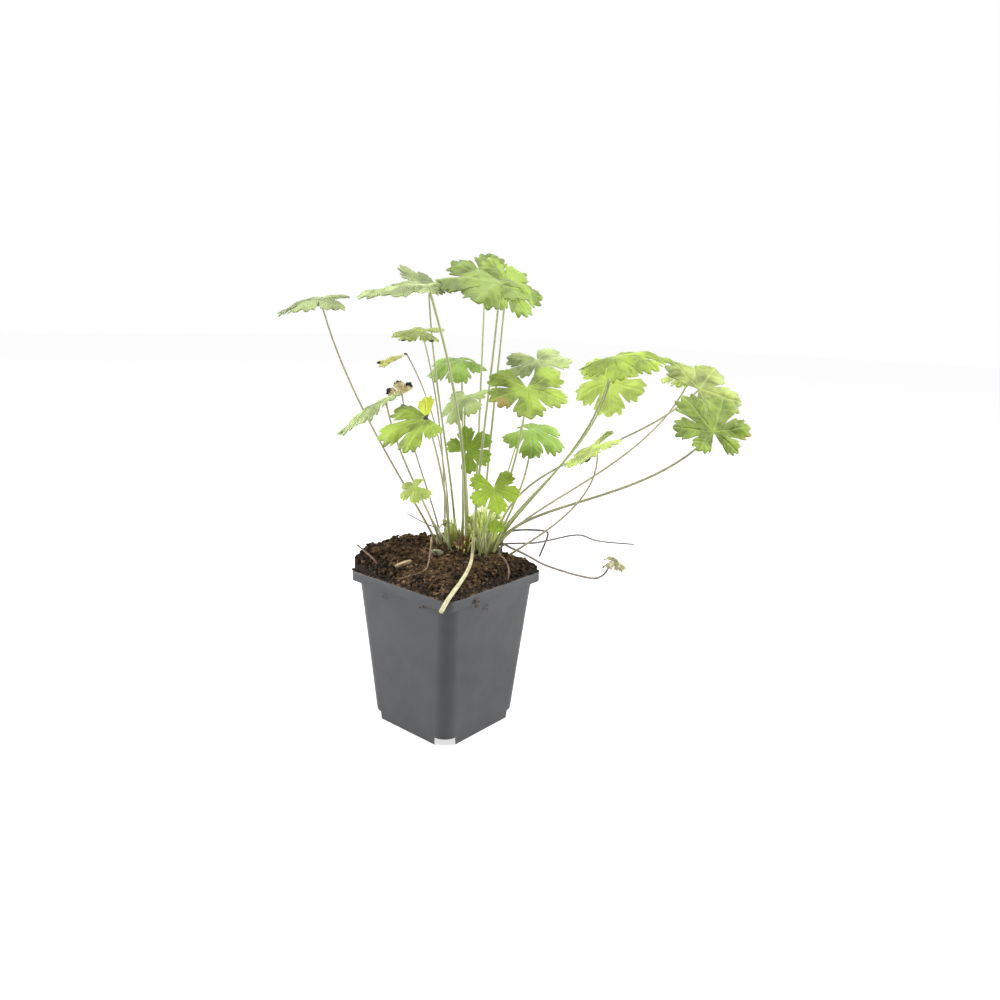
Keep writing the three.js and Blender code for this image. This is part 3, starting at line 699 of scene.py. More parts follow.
@dataclass(frozen=True)
class DeadBlade:
    """A withered leaf: dry, crinkled and papery, in two faded tones, with blackened rims."""

    name: str
    dark: str
    light: str
    blotch: float = 6.3  # widths of the patterns in mm, like the next two
    ragged: float = 1.1
    crinkle: float = 2.0

    def material(self) -> bpy.types.Material:
        """Builds the node material.

        Returns:
            The material.
        """
        material, put, shader = blank_material(self.name)
        place = put("ShaderNodeTexCoord").outputs["Object"]
        blotch = put(NOISE, {"Vector": place, "Scale": per(self.blotch), "Detail": 4.0})
        ragged = put(NOISE, {"Vector": place, "Scale": per(self.ragged), "Detail": 2.0})
        crinkle = put(NOISE, {"Vector": place, "Scale": per(self.crinkle), "Detail": 4.0})
        base = put(MIX, {0: put(RANGE, {0: blotch, 1: 0.35, 2: 0.65}, **SMOOTH), 6: linear(self.dark),
                         7: linear(self.light)}, **BLEND)
        black = put("ShaderNodeAttribute", attribute_name=BlemishOrShade.BLACK.value)
        frayed = put(MATH, {0: ragged, 1: 0.6, 2: black}, operation="MULTIPLY_ADD")
        base = put(MIX, {0: put(RANGE, {0: frayed, 1: 0.7, 2: 0.9}, **SMOOTH), 6: base,
                         7: linear(LeafSkin.blackened)}, **BLEND)
        feed(shader, {"Base Color": base, "Roughness": 0.8,
                      "Normal": put("ShaderNodeBump", {"Height": crinkle, "Distance": 0.8 * MM})})
        let_through(material, base, 0.2)
        return material


@dataclass(frozen=True)
class DeadFibre:
    """Dry stems, roots and splinters: dull, with fibres lengthwise in two tones, and blotches."""

    name: str
    dark: str
    light: str
    blotch: float = 5.6  # width of the blotches in mm
    fibre_scale: float = 5.0  # on the UV map, which is once round across and runs along with the stem
    fibre_stretch: Point = (3.0, 2.5, 1.0)

    def material(self) -> bpy.types.Material:
        """Builds the node material.

        Returns:
            The material.
        """
        material, put, shader = blank_material(self.name)
        drawn_out = put("ShaderNodeMapping", {"Vector": put("ShaderNodeUVMap", uv_map=UV_NAME),
                                              "Scale": self.fibre_stretch})
        fibres = put(NOISE, {"Vector": drawn_out, "Scale": self.fibre_scale})
        place = put("ShaderNodeTexCoord").outputs["Object"]
        blotch = put(NOISE, {"Vector": place, "Scale": per(self.blotch), "Detail": 4.0})
        tone = put(RANGE, {0: put(MATH, {0: fibres, 1: blotch}, operation="ADD"), 1: 0.72, 2: 1.28}, **SMOOTH)
        base = put(MIX, {0: tone, 6: linear(self.dark), 7: linear(self.light)}, **BLEND)
        feed(shader, {"Base Color": base, "Roughness": 0.75,
                      "Normal": put("ShaderNodeBump", {"Height": tone, "Distance": 0.4 * MM})})
        return material


@dataclass(frozen=True)
class StalkBase:
    """Bases of stalks and scales on the rootstock: fleshy or papery, shaded from the foot up."""

    name: str
    dark: str
    light: str
    mottle: float = 2.4  # widths of the patterns in mm, like the next one
    grit: float = 0.8

    def material(self) -> bpy.types.Material:
        """Builds the node material.

        Returns:
            The material.
        """
        material, put, shader = blank_material(self.name)
        place = put("ShaderNodeTexCoord").outputs["Object"]
        mottle = put(NOISE, {"Vector": place, "Scale": per(self.mottle), "Detail": 3.0})
        rise = put(RANGE, {0: put("ShaderNodeAttribute", attribute_name="rise"), 4: 0.7})
        tone = put(MATH, {0: mottle, 1: 0.5, 2: rise}, operation="MULTIPLY_ADD")
        base = put(MIX, {0: put(RANGE, {0: tone, 1: 0.2, 2: 0.85}, **SMOOTH), 6: linear(self.dark),
                         7: linear(self.light)}, **BLEND)
        grit = put(NOISE, {"Vector": place, "Scale": per(self.grit), "Detail": 3.0})
        feed(shader, {"Base Color": base, "Roughness": 0.6,
                      "Normal": put("ShaderNodeBump", {"Height": grit, "Distance": 0.4 * MM})})
        return material


@dataclass(frozen=True)
class DampPeat:
    """Milled peat, damp: near black to warm brown without gloss, each crumb in a shade of its own."""

    name: str = "peat"
    wet: str = "#20170f"
    dry: str = "#6b543b"
    straw: str = "#aa906f"
    damp_patch: float = 24.0  # widths of the patterns in mm, like the next two
    grain: float = 3.0
    grit: float = 0.7

    def material(self) -> bpy.types.Material:
        """Builds the node material.

        Returns:
            The material.
        """
        material, put, shader = blank_material(self.name)
        place = put("ShaderNodeTexCoord").outputs["Object"]
        damp = put(NOISE, {"Vector": place, "Scale": per(self.damp_patch), "Detail": 3.0})
        damp = put(RANGE, {0: damp, 1: 0.35, 2: 0.65, 3: -0.16, 4: 0.12}, **SMOOTH)
        grain = put(NOISE, {"Vector": place, "Scale": per(self.grain), "Detail": 5.0})
        shade = put(MATH, {0: grain, 1: 0.5, 2: damp}, operation="MULTIPLY_ADD")
        own = put("ShaderNodeAttribute", attribute_name="shade")
        shade = put(MATH, {0: shade, 1: own}, operation="ADD")
        base = put(MIX, {0: put(RANGE, {0: shade, 1: 0.12, 2: 0.8}, **SMOOTH), 6: linear(self.wet),
                         7: linear(self.dry)}, **BLEND)
        palest = put(RANGE, {0: shade, 1: 0.85, 2: 1.15}, **SMOOTH)
        base = put(MIX, {0: palest, 6: base, 7: linear(self.straw)}, **BLEND)
        grit = put(NOISE, {"Vector": place, "Scale": per(self.grit), "Detail": 4.0})
        feed(shader, {"Base Color": base, "Roughness": 0.9, "Specular IOR Level": 0.25,
                      "Normal": put("ShaderNodeBump", {"Height": grit, "Distance": 1.2 * MM})})
        return material


@dataclass(frozen=True)
class Polypropylene:
    """Recycled polypropylene, thermoformed: dark grey and satin, faintly mottled, with dust rubbed in."""

    name: str = "pot_polypropylene"
    deep: str = "#2b2c2e"
    grey: str = "#313235"
    dust: str = "#595959"
    mottle: float = 33.0  # widths of the patterns in mm, like the next three
    scuff: float = 1.4
    gloss_patch: float = 11.0
    pores: float = 0.4
    ior: float = 1.49

    def material(self) -> bpy.types.Material:
        """Builds the node material.

        Returns:
            The material.
        """
        material, put, shader = blank_material(self.name)
        place = put("ShaderNodeTexCoord").outputs["Object"]
        mottle = put(NOISE, {"Vector": place, "Scale": per(self.mottle), "Detail": 4.0})
        upright = put("ShaderNodeMapping", {"Vector": place, "Scale": (1.0, 1.0, 0.12)})
        scuff = put(NOISE, {"Vector": upright, "Scale": per(self.scuff), "Detail": 2.0})
        gloss = put(NOISE, {"Vector": place, "Scale": per(self.gloss_patch), "Detail": 3.0})
        pores = put(NOISE, {"Vector": place, "Scale": per(self.pores), "Detail": 2.0})
        base = put(MIX, {0: put(RANGE, {0: mottle, 1: 0.3, 2: 0.7}, **SMOOTH), 6: linear(self.deep),
                         7: linear(self.grey)}, **BLEND)
        base = put(MIX, {0: put(RANGE, {0: scuff, 1: 0.64, 2: 0.85, 4: 0.12}, **SMOOTH), 6: base,
                         7: linear(self.dust)}, **BLEND)
        feed(shader, {"Base Color": base, "IOR": self.ior,
                      "Roughness": put(RANGE, {0: gloss, 1: 0.2, 2: 0.8, 3: 0.44, 4: 0.56}, **SMOOTH),
                      "Normal": put("ShaderNodeBump", {"Height": pores, "Distance": 0.04 * MM})})
        return material


# ---------------------------------------------------------------- leaves


@dataclass(frozen=True)
class Leaf:
    """One leaf's shape, in the plant's frame: the same terms and the same surface as its solid."""

    name: str
    hub: Point  # where the stalk meets the blade
    root: Point  # where the stalk leaves the rootstock
    size: float  # from the hub to the tip of a lobe
    lobes: int
    spread: float  # degrees from lobe to lobe
    turn: float  # bearing of the middle lobe
    lean: float  # degrees that the blade leans over
    to: float  # bearing that it leans to
    droop: float  # degrees that the blade curves down from the hub to its tips
    fold: float  # how far the lobes' sides stand above their midribs, below 0 where they hang
    stretch: float  # how much longer the lobes near the middle one are
    lift: float  # how far the stalk sets out straight up
    arrive: float  # degrees that the stalk ends steeper than a straight line to the hub
    stout: float  # the stalk's thickness, as a share of the usual

    @classmethod
    def from_row(cls, row: tuple) -> Leaf:
        """Reads a row of the leaf table."""
        name, hub, root, blade, pose, arch, stem = row
        return cls(name, hub, root, *blade, *pose, *arch, *stem)

    @property
    def half(self) -> float:
        """Degrees from a lobe's middle to its side."""
        return self.spread / 2

    @property
    def seed(self) -> int:
        """A number of the leaf's own for what differs from leaf to leaf."""
        return int(10 * self.size + self.turn + abs(self.hub[0]))

    def axis(self, lobe: int) -> float:
        """Gives the degrees from the middle lobe to this one."""
        return (2 * lobe - self.lobes + 1) * self.half

    def length(self, lobe: int) -> float:
        """Gives a lobe's length as a share of the leaf's size."""
        order = lobe - (self.lobes - 1) / 2
        return (1 - LOBE_FALL * abs(order)) * (1 + self.stretch * math.cos(math.radians(order * self.spread)))

    def flat_to_shaped(self, distance: np.ndarray, angle: np.ndarray, off: np.ndarray) -> np.ndarray:
        """Brings points of the flat leaf onto the cupped, folded, waved and drooping blade.

        Args:
            distance: from the hub, as shares of the leaf's size.
            angle: degrees from the leaf's own X.
            off: degrees from the middle of the lobe.

        Returns:
            The points, before the blade is leant, turned and moved.
        """
        phase = self.size + self.turn
        turn = np.radians(angle)
        droop = math.radians(self.droop) * (1 + 0.25 * np.sin(2 * turn + phase))
        reach = np.sin(droop * distance) / droop
        fall = (1 - np.cos(droop * distance)) / droop
        fold = self.fold * distance * np.abs(np.sin(np.radians(off)))
        wave = WAVE * distance**2 * np.sin(3 * turn + phase)
        height = CUP * distance + fold + wave - fall
        return self.size * np.stack([reach * np.cos(turn), reach * np.sin(turn), height], -1)

    def placing(self) -> Matrix:
        """Gives the matrix that leans, turns and moves the blade onto its hub."""
        leaning = Matrix.Rotation(math.radians(self.lean), 4, toward(self.to + 90))
        return Matrix.Translation(self.hub) @ leaning @ Matrix.Rotation(math.radians(self.turn), 4, "Z")

    def stalk_line(self, steps: int) -> list[Vector]:
        """Draws the middle line of the stalk: up out of the crown, then over to the hub.

        Args:
            steps: how many steps it takes.

        Returns:
            The line's points.
        """
        root = Vector((*self.root, ROOT_LEVEL))
        hub = Vector(self.hub)
        run = hub - root
        bearing = math.degrees(math.atan2(run.y, run.x))
        elevation = math.degrees(math.asin(run.z / run.length))
        rise = root + Vector((0, 0, self.lift))
        arrival = hub - toward(bearing, elevation + self.arrive) * (0.4 * run.length)
        line = []
        for i in range(steps + 1):
            t = i / steps
            a, b, c = root.lerp(rise, t), rise.lerp(arrival, t), arrival.lerp(hub, t)
            line.append(a.lerp(b, t).lerp(b.lerp(c, t), t))
        return line


# Half the outline of a lobe: share of the way from its middle to its side, and reach as a share of its
# length.
LOBE_OUTLINE = ((0, 1.0), (0.1, 0.985), (0.2, 0.94), (0.27, 0.89), (0.31, 0.88), (0.37, 0.925), (0.46, 0.965),
                (0.54, 0.955), (0.63, 0.885), (0.69, 0.8), (0.73, 0.79), (0.79, 0.835), (0.87, 0.845),
                (0.94, 0.795), (0.98, 0.725), (1.0, 0.66))
# How much of its sector a lobe fills: share out, share of the width.
LOBE_WIDTH = ((0.0, 1.0), (0.36, 1.0), (0.42, 0.95), (0.5, 0.905), (0.62, 0.89), (0.82, 0.91), (1.1, 0.94))


@dataclass
class Blade:
    """A leaf's blade as a fine surface: each lobe a fan of columns, parted from the next beyond the sinus."""

    leaf: Leaf
    crinkle: float = 0.0
    crinkle_width: float = 3.0
    thickness: float = 0.45
    hub_thickness: float = 1.4
    hub_width: float = 0.05  # as a share of a lobe's length, like the next
    rib_width: float = 0.05
    rib_depth: float = 0.015  # as a share of the leaf's size, like the next two
    puff: float = 0.016
    hills: float = 0.055
    hill_width: float = 8.0
    trim: float = 0.985  # the fine outline's size, as a share of the solid's
    notch_play: float = 0.035
    inner_rows: int = 6
    outer_rows: int = 11
    columns: np.ndarray = field(default_factory=lambda: np.linspace(-1, 1, 37))

    def __post_init__(self) -> None:
        """Lays out the flat blade and shapes it."""
        self.random = random.Random(self.leaf.seed)
        self.faces: Faces = []
        self.face_uvs: list[tuple[float, float]] = []
        self.grow()
        self.emboss()

    def outline(self) -> np.ndarray:
        """Draws the outline of one lobe, with teeth that differ a little from lobe to lobe.

        Returns:
            The reach of each column.
        """
        places, reaches = zip(*LOBE_OUTLINE)
        rough = [reach - self.random.uniform(0, self.notch_play) for reach in reaches[:-2]]
        left = np.interp(-self.columns, places, [*rough, *reaches[-2:]])
        rough = [rough[0], *(reach - self.random.uniform(0, self.notch_play) for reach in reaches[1:-2])]
        right = np.interp(self.columns, places, [*rough, *reaches[-2:]])
        return self.trim * np.where(self.columns < 0, left, right)

    def boundary(self, lobe: int) -> float:
        """Gives the mean length on the border before a lobe."""
        inside = [self.leaf.length(k) for k in (lobe - 1, lobe) if 0 <= k < self.leaf.lobes]
        return sum(inside) / len(inside)

    def grow(self) -> None:
        """Places the points of all lobes, row by row from the hub, and spans the faces between them."""
        leaf = self.leaf
        count = len(self.columns)
        rows = self.inner_rows + self.outer_rows
        width_out, width_share = zip(*LOBE_WIDTH)
        index = np.zeros((leaf.lobes, count, rows + 1), int)
        distances, angles, offs, across, outs = [0.0], [0.0], [0.0], [0.0], [0.0]
        corner_uv: dict[tuple[int, int, int], tuple[float, float]] = {}
        for lobe in range(leaf.lobes):
            length = leaf.length(lobe)
            inner = SINUS * np.interp(self.columns, (-1, 1), (self.boundary(lobe), self.boundary(lobe + 1)))
            outer = self.outline() * length
            for column, place in enumerate(self.columns):
                for row in range(rows + 1):
                    if row <= self.inner_rows:
                        distance = inner[column] * row / self.inner_rows
                        share = place
                    else:
                        step = (row - self.inner_rows) / self.outer_rows
                        distance = inner[column] + (outer[column] - inner[column]) * step
                        width = np.interp(distance / length, width_out, width_share)
                        share = place * (1 - (1 - width) * abs(place) ** 3)
                    corner_uv[lobe, column, row] = (0.5 + 0.5 * share, distance / length)
                    if row == 0:
                        continue
                    if column == 0 and lobe > 0 and row <= self.inner_rows:
                        index[lobe, column, row] = index[lobe - 1, count - 1, row]
                        continue
                    index[lobe, column, row] = len(distances)
                    distances.append(distance)
                    angles.append(leaf.axis(lobe) + share * leaf.half)
                    offs.append(share * leaf.half)
                    across.append(share)
                    outs.append(distance / length)
        self.points = leaf.flat_to_shaped(*(np.array(v) for v in (distances, angles, offs)))
        self.across, self.out = np.array(across), np.array(outs)
        self.lobe_of = np.zeros(len(distances), int)
        for lobe in range(leaf.lobes):
            self.lobe_of[index[lobe].ravel()] = lobe
            for column in range(count - 1):
                for row in range(rows):
                    corners = [(column, row), (column, row + 1), (column + 1, row + 1), (column + 1, row)]
                    if row == 0:
                        corners = corners[:3]
                    self.faces.append(tuple(int(index[lobe, c, r]) for c, r in corners))
                    self.face_uvs.extend(corner_uv[lobe, c, r] for c, r in corners)

    def emboss(self) -> None:
        """Sinks the midribs and puffs up the blade between the veins, and crinkles it if it is dead."""
        normals = sheet_normals(self.points, self.faces)
        groove = np.exp(-((self.across * self.out / self.rib_width) ** 2)) * np.clip(self.out * 6, 0, 1)
        between = np.abs(np.sin(math.pi * SIDE_VEINS * (self.out - VEIN_SLOPE * np.abs(self.across))))
        puff = between * np.clip(self.out * 3 - 0.4, 0, 1) * np.clip(np.abs(self.across) * 4, 0, 1)
        hills = np.array([noise.noise(Vector((x / self.hill_width, y / self.hill_width, self.leaf.seed)))
                          for x, y, _ in self.points])
        hills *= np.clip(self.out * 2.5, 0, 1)
        lift = (self.puff * puff - self.rib_depth * groove + self.hills * hills) * self.leaf.size
        if self.crinkle:
            creases = [noise.noise(Vector(p) / self.crinkle_width) for p in self.points]
            lift += self.crinkle * np.array(creases)
        self.points = self.points + normals * lift[:, None]
        self.normals = sheet_normals(self.points, self.faces)

    def edge(self) -> list[tuple[int, int]]:
        """Gives the sides of faces that no other face shares."""
        sides = {(a, b) for face in self.faces for a, b in zip(face, (*face[1:], face[0]))}
        return sorted((a, b) for a, b in sides if (b, a) not in sides)

    def blemishes_and_shade(self) -> dict[str, np.ndarray]:
        """Works out how strongly each kind of blemish, and the painted shade of the dark patches, shows.

        Returns:
            For each kind, one number for each point, from 0 to 1.
        """
        strengths = {kind.value: np.zeros(len(self.points)) for kind in BlemishOrShade}
        for spot in SPOTS:
            if spot.leaf != self.leaf.name:
                continue
            middle = self.leaf.flat_to_shaped(*(np.array([v]) for v in (
                spot.out * self.leaf.length(spot.lobe),
                self.leaf.axis(spot.lobe) + spot.across * self.leaf.half,
                spot.across * self.leaf.half)))
            away = np.linalg.norm(self.points - middle, axis=1) / spot.radius
            # the dark patches of painted shade fade out softly
            soft = spot.kind is BlemishOrShade.DARK
            strength = np.clip(1.3 - 1.3 * away if soft else 1.25 - 0.75 * away, 0, 1)
            if spot.kind is BlemishOrShade.YELLOW:
                strength = np.where(self.lobe_of == spot.lobe, strength, 0.0)
            strengths[spot.kind.value] = np.maximum(strengths[spot.kind.value], strength)
        return strengths

    def add_to(self, data: MeshData, upper: int, lower: int, lift: float = 0.0) -> None:
        """Adds both faces and the rim to a mesh, in the plant's frame.

        Args:
            data: the mesh.
            upper: material slot of the upper side.
            lower: material slot of the lower side.
            lift: how much lighter the leaf is than its kind, partly its own tone and partly painted light and
                shade.
        """
        placing = np.array(self.leaf.placing())
        hub_share = np.exp(-((self.out / self.hub_width) ** 2))
        depth = (self.thickness + (self.hub_thickness - self.thickness) * hub_share)[:, None] / 2
        upside, underside = ((self.points + sign * self.normals * depth) @ placing[:3, :3].T + placing[:3, 3]
                             for sign in (1, -1))
        blemishes_and_shade = self.blemishes_and_shade()
        data.add(upside, self.faces, upper, self.face_uvs, lift=lift, **blemishes_and_shade)
        flipped, flipped_uvs, start = [], [], 0
        for face in self.faces:
            flipped.append(face[::-1])
            flipped_uvs.extend(self.face_uvs[start : start + len(face)][::-1])
            start += len(face)
        data.add(underside, flipped, lower, flipped_uvs, lift=lift, **blemishes_and_shade)
        count = len(self.points)
        first = len(data.points) - 2 * count
        for a, b in self.edge():
            data.faces.append((first + b, first + a, first + count + a, first + count + b))
            data.materials.append(upper)
            data.uvs.extend([(0.5 + 0.5 * self.across[i], self.out[i]) for i in (b, a, a, b)])


@dataclass
class Foliage:
    """Every leaf, living or withered, with its stalk."""

    stalk_sides: int = 10
    stalk_steps: int = 28
    slim: float = 0.88  # thickness of a fine stalk, as a share of its solid's
    withered_crinkle: float = 1.6

    def __post_init__(self) -> None:
        """Dresses the kinds of leaf."""
        self.skins = {
            tint: (LeafSkin(f"leaf_{tint.name.lower()}", tint.value[0], 0.5).material(),
                   LeafSkin(f"leaf_{tint.name.lower()}_under", tint.value[1], -0.9).material())
            for tint in Tint
        }
        self.stalk = StalkSkin().material()
        self.dead = {
            "withered_leaf_1": DeadBlade("yellow_blade", "#adac61", "#d4d48e").material(),
            "withered_leaf_2": DeadBlade("ochre_blade", "#bcad76", "#dace9e").material(),
        }

    def add_stalk(self, data: MeshData, leaf: Leaf, material: int) -> None:
        """Adds a leaf's stalk to its mesh.

        Args:
            data: the mesh.
            leaf: the leaf.
            material: the stalk's material slot.
        """
        foot, neck = STALK_FOOT * leaf.stout * self.slim, STALK_NECK * leaf.stout * self.slim

        def radius(along: float, angle: float) -> float:
            """Gives the stalk's radius: swollen at both ends and slightly flattened."""
            swell = 0.25 * math.exp(-((along / 0.03) ** 2)) + 0.3 * math.exp(-(((1 - along) / 0.02) ** 2))
            return (foot + (neck - foot) * along) * (1 + swell) * (1 - 0.06 * math.cos(2 * angle))

        points, faces, along = tube(leaf.stalk_line(self.stalk_steps), radius, self.stalk_sides)
        data.add(points, faces, material, rise=along, tan=LEAF_LOOKS[leaf.name][2])

    def make_leaf(self, row: tuple) -> None:
        """Makes a living leaf.

        Args:
            row: its row of the leaf table.
        """
        leaf = Leaf.from_row(row)
        tint, lift, _ = LEAF_LOOKS[leaf.name]
        data = MeshData(*LEAF_LAYERS)
        Blade(leaf).add_to(data, upper=0, lower=1, lift=lift)
        self.add_stalk(data, leaf, material=2)
        piece = data.piece(f"{leaf.name}_fine", PLANT_PLACING, (*self.skins[tint], self.stalk))
        declare(piece, Slot.LEAF, leaf.name)

    def make_withered(self, row: tuple) -> None:
        """Makes a withered leaf.

        Args:
            row: its row of the leaf table.
        """
        leaf = Leaf.from_row(row)
        data = MeshData(*LEAF_LAYERS)
        Blade(leaf, crinkle=self.withered_crinkle).add_to(data, upper=0, lower=0)
        self.add_stalk(data, leaf, material=1)
        piece = data.piece(f"{leaf.name}_fine", PLANT_PLACING, (self.dead[leaf.name], self.stalk))
        declare(piece, Slot.WITHERED, leaf.name)

    def make(self) -> None:
        """Makes all of them."""
        for row in LEAF_ROWS:
            self.make_leaf(row)
        for row in WITHERED_ROWS:
            self.make_withered(row)


# ---------------------------------------------------------------- dead stems, roots and litter


@dataclass(frozen=True)
class Strand:
    """A dead stem or a root: its finish, its radius at each end, how knobbly it is, and its route."""

    name: str
    slot: Slot
    finish: DeadFibre
    radii: tuple[float, float]
    knobs: float
    points: tuple[Point, ...]


STRANDS = (
    Strand("cut_stem", Slot.STEM, DeadFibre("straw", "#aaa279", "#d4ceaa"), (0.95, 1.35), 0.04, (
        (16.6, -4.4, 124), (15.9, -6.5, 113.8), (14.1, -24, 112.6), (11, -36.5, 110.2), (6.4, -50, 107.6),
        (0.7, -60, 102.7), (-3.2, -66.5, 97.6))),
    Strand("bent_twig", Slot.STEM, DeadFibre("dark_twig", "#555048", "#7e796f"), (0.8, 0.6), 0.16, (
        (36, 15.5, 106), (36.5, 15, 118), (41, 13, 123.6), (47, 11, 125.6), (65, 11, 124.8), (66, 11, 123.4),
        (61, 11, 107.6))),
    Strand("long_twig", Slot.STEM, DeadFibre("grey_twig", "#69615d", "#99908b"), (0.7, 0.5), 0.16, (
        (33.5, 3.5, 106), (34, 4.5, 114.5), (38, 6.5, 117.2), (44.2, 7, 117.6), (56.6, 7, 118.1),
        (66, 6.8, 120), (85.8, 6, 124.2), (98, 8, 120), (123, 8, 117.8))),
    Strand("fallen_leaf", Slot.WITHERED, DeadFibre("pink_twig", "#867369", "#b5a297"), (0.8, 0.7), 0.16, (
        (34, 15.5, 104), (34.2, 14, 114.6), (36.7, 12.5, 115.8), (41.5, 13, 113.1), (46.3, 14, 110.8),
        (55.3, 15, 106.1), (64, 15.5, 101.2), (75, 14, 97.6), (89, 14.5, 93.5), (101, 16, 91.5),
        (106.5, 17.5, 94), (110, 19, 99), (113, 19, 103))),
    Strand("pale_root", Slot.ROOT, DeadFibre("pale_root", "#816952", "#b59e81"), (0.55, 0.35), 0.3, (
        (-9.5, 6, 107), (-10, 3, 122), (-10.5, -8, 118), (-11.5, -19, 112), (-14, -29, 110),
        (-29, -31, 105))),
    Strand("bowed_root", Slot.ROOT, DeadFibre("brown_root", "#6f5745", "#a2866f"), (0.6, 0.45), 0.16, (
        (29, -3, 108), (32, -5.5, 113.5), (36.5, -10.5, 111.5), (38.5, -17, 108), (38, -22, 102))),
    Strand("left_twig", Slot.STEM, DeadFibre("red_twig", "#6c5245", "#ad907e"), (0.8, 0.5), 0.35, (
        (-41, -11, 104), (-46, -9, 110.5), (-57, -1, 117.5))),
    Strand("thin_twig", Slot.STEM, DeadFibre("thin_twig", "#a29b90", "#c8c2b8"), (0.5, 0.35), 0.16, (
        (-3.5, 27.5, 104), (-6, 27.5, 120), (-15, 27, 125), (-27, 27, 131.5))),
)


@dataclass
class Litter:
    """Dead stems, roots, the wood chip and the moss."""

    sides: int = 12
    steps: int = 10
    fallen_crinkle: float = 1.8
    chip_spot: Point = (-27, -17.5, 110.6)
    chip_size: Point = (12.5, 3.6, 2.0)
    chip_bearing: float = 28.0
    chip_slope: float = -12.0
    chip_cuts: int = 7
    chip_core: float = 0.9  # its size as a block, before it is smoothed
    # Beyond this share of its length, it has this share of its thickness.
    chip_ends: tuple[tuple[float, float], ...] = ((0.34, 0.88), (0.46, 0.6))
    chip_splits: float = 0.13
    chip_seed: int = 3
    moss_spot: Point = (-7.1, 0.0, 112.4)
    moss_size: Point = (5.0, 3.6, 2.6)
    moss_fronds: int = 520
    frond: float = 0.22

    def make_strand(self, strand: Strand) -> None:
        """Makes a dead stem or a root, and the shrivelled blade where it carries one.

        Args:
            strand: which one.
        """
        first, last = strand.radii
        seed = len(strand.name)

        def radius(along: float, angle: float) -> float:
            """Gives the strand's radius, with its knobs and dents."""
            place = Vector((4 * along * len(strand.points), math.cos(angle) + seed, math.sin(angle)))
            return (first + (last - first) * along) * (1 + strand.knobs * noise.noise(place))

        data = MeshData(*LEAF_LAYERS)
        body, faces, along = tube(smooth_path(strand.points, self.steps), radius, self.sides)
        uvs = [((i % self.sides) / self.sides, along[i] * len(strand.points)) for face in faces for i in face]
        data.add(body, faces, 0, uvs)
        materials = [strand.finish.material()]
        if strand.name == "fallen_leaf":
            blade = Blade(Leaf.from_row(FALLEN_BLADE_ROW), crinkle=self.fallen_crinkle)
            blade.add_to(data, upper=1, lower=1)
            materials.append(DeadBlade("shrivelled_blade", "#8b8965", "#bfbc97").material())
        declare(data.piece(f"{strand.name}_fine", PLANT_PLACING, materials), strand.slot, strand.name)

    def make_chip(self) -> None:
        """Shapes the splinter from a block: tapered, frayed ends and sides split along the grain."""
        length, width, _ = self.chip_size
        chip = start_from_cube([self.chip_core * side for side in self.chip_size])
        bpy.ops.mesh.subdivide(number_cuts=self.chip_cuts)
        for share, thickness in self.chip_ends:
            choose(chip, "verts", lambda vertex: abs(vertex.co.x) > share * self.chip_core * length)
            bpy.ops.transform.resize(value=(1, thickness, thickness))
        bpy.ops.mesh.select_all(action="SELECT")
        bpy.ops.transform.vertex_random(offset=self.chip_splits, seed=self.chip_seed)
        bpy.ops.object.mode_set(mode="OBJECT")
        apply_modifier(chip, "SUBSURF", levels=1, render_levels=1)
        grain = chip.data.uv_layers[0]
        grain.name = UV_NAME
        for loop in chip.data.loops:
            spot = chip.data.vertices[loop.vertex_index].co
            grain.data[loop.index].uv = (spot.y / width + spot.z, 3 * spot.x / length)
        lying = Matrix.Translation(self.chip_spot) @ Matrix.Rotation(math.radians(self.chip_bearing), 4, "Z")
        lying = lying @ Matrix.Rotation(math.radians(self.chip_slope), 4, "Y")
        chip.data.transform(PLANT_PLACING @ lying)
        chip.data.materials.append(DeadFibre("chip_wood", "#a28661", "#dac29b").material())
        bpy.ops.object.shade_smooth_by_angle(angle=math.radians(50))
        chip.name = "wood_chip_fine"
        declare(chip, Slot.CHIP, "wood_chip")

    def make_moss(self) -> None:
        """Makes a tuft of short curled fronds."""
        data = MeshData()
        chance = random.Random(12)
        for _ in range(self.moss_fronds):
            way = Vector((chance.uniform(-1, 1), chance.uniform(-1, 1), chance.uniform(-0.3, 1))).normalized()
            start = Vector([w * 0.35 * half for w, half in zip(way, self.moss_size)])
            end = Vector([w * chance.uniform(0.85, 1.0) * half for w, half in zip(way, self.moss_size)])
            bend = Vector((chance.uniform(-0.4, 0.4), chance.uniform(-0.4, 0.4), 0))
            line = smooth_path((start, (start + end) / 2 + bend, end), 3)
            points, faces, _ = tube(line, lambda along, angle: self.frond * (1 - 0.7 * along), 4)
            data.add(points, faces)
        placing = PLANT_PLACING @ Matrix.Translation(self.moss_spot)
        moss = DeadFibre("moss", "#9e9b7e", "#d4d1bc").material()
        declare(data.piece("moss_fine", placing, (moss,)), Slot.MOSS, "moss_tuft")

    def make(self) -> None:
        """Makes all of it."""
        for strand in STRANDS:
            self.make_strand(strand)
        self.make_chip()
        self.make_moss()


# ---------------------------------------------------------------- crown


class Growth(IntEnum):
    """What grows on the rootstock, by the number of its material slot."""

    STUB = 0
    SCALE = 1
    PALE_STUB = 2
    TAN_STUB = 3
    BUD = 4


@dataclass(frozen=True)
class Clump:
    """A clump of the rootstock."""

    middle: Point
    half: Point  # half widths along X and Y
    tall: float  # height of its tallest stubs
    stubs: int
    scales: int


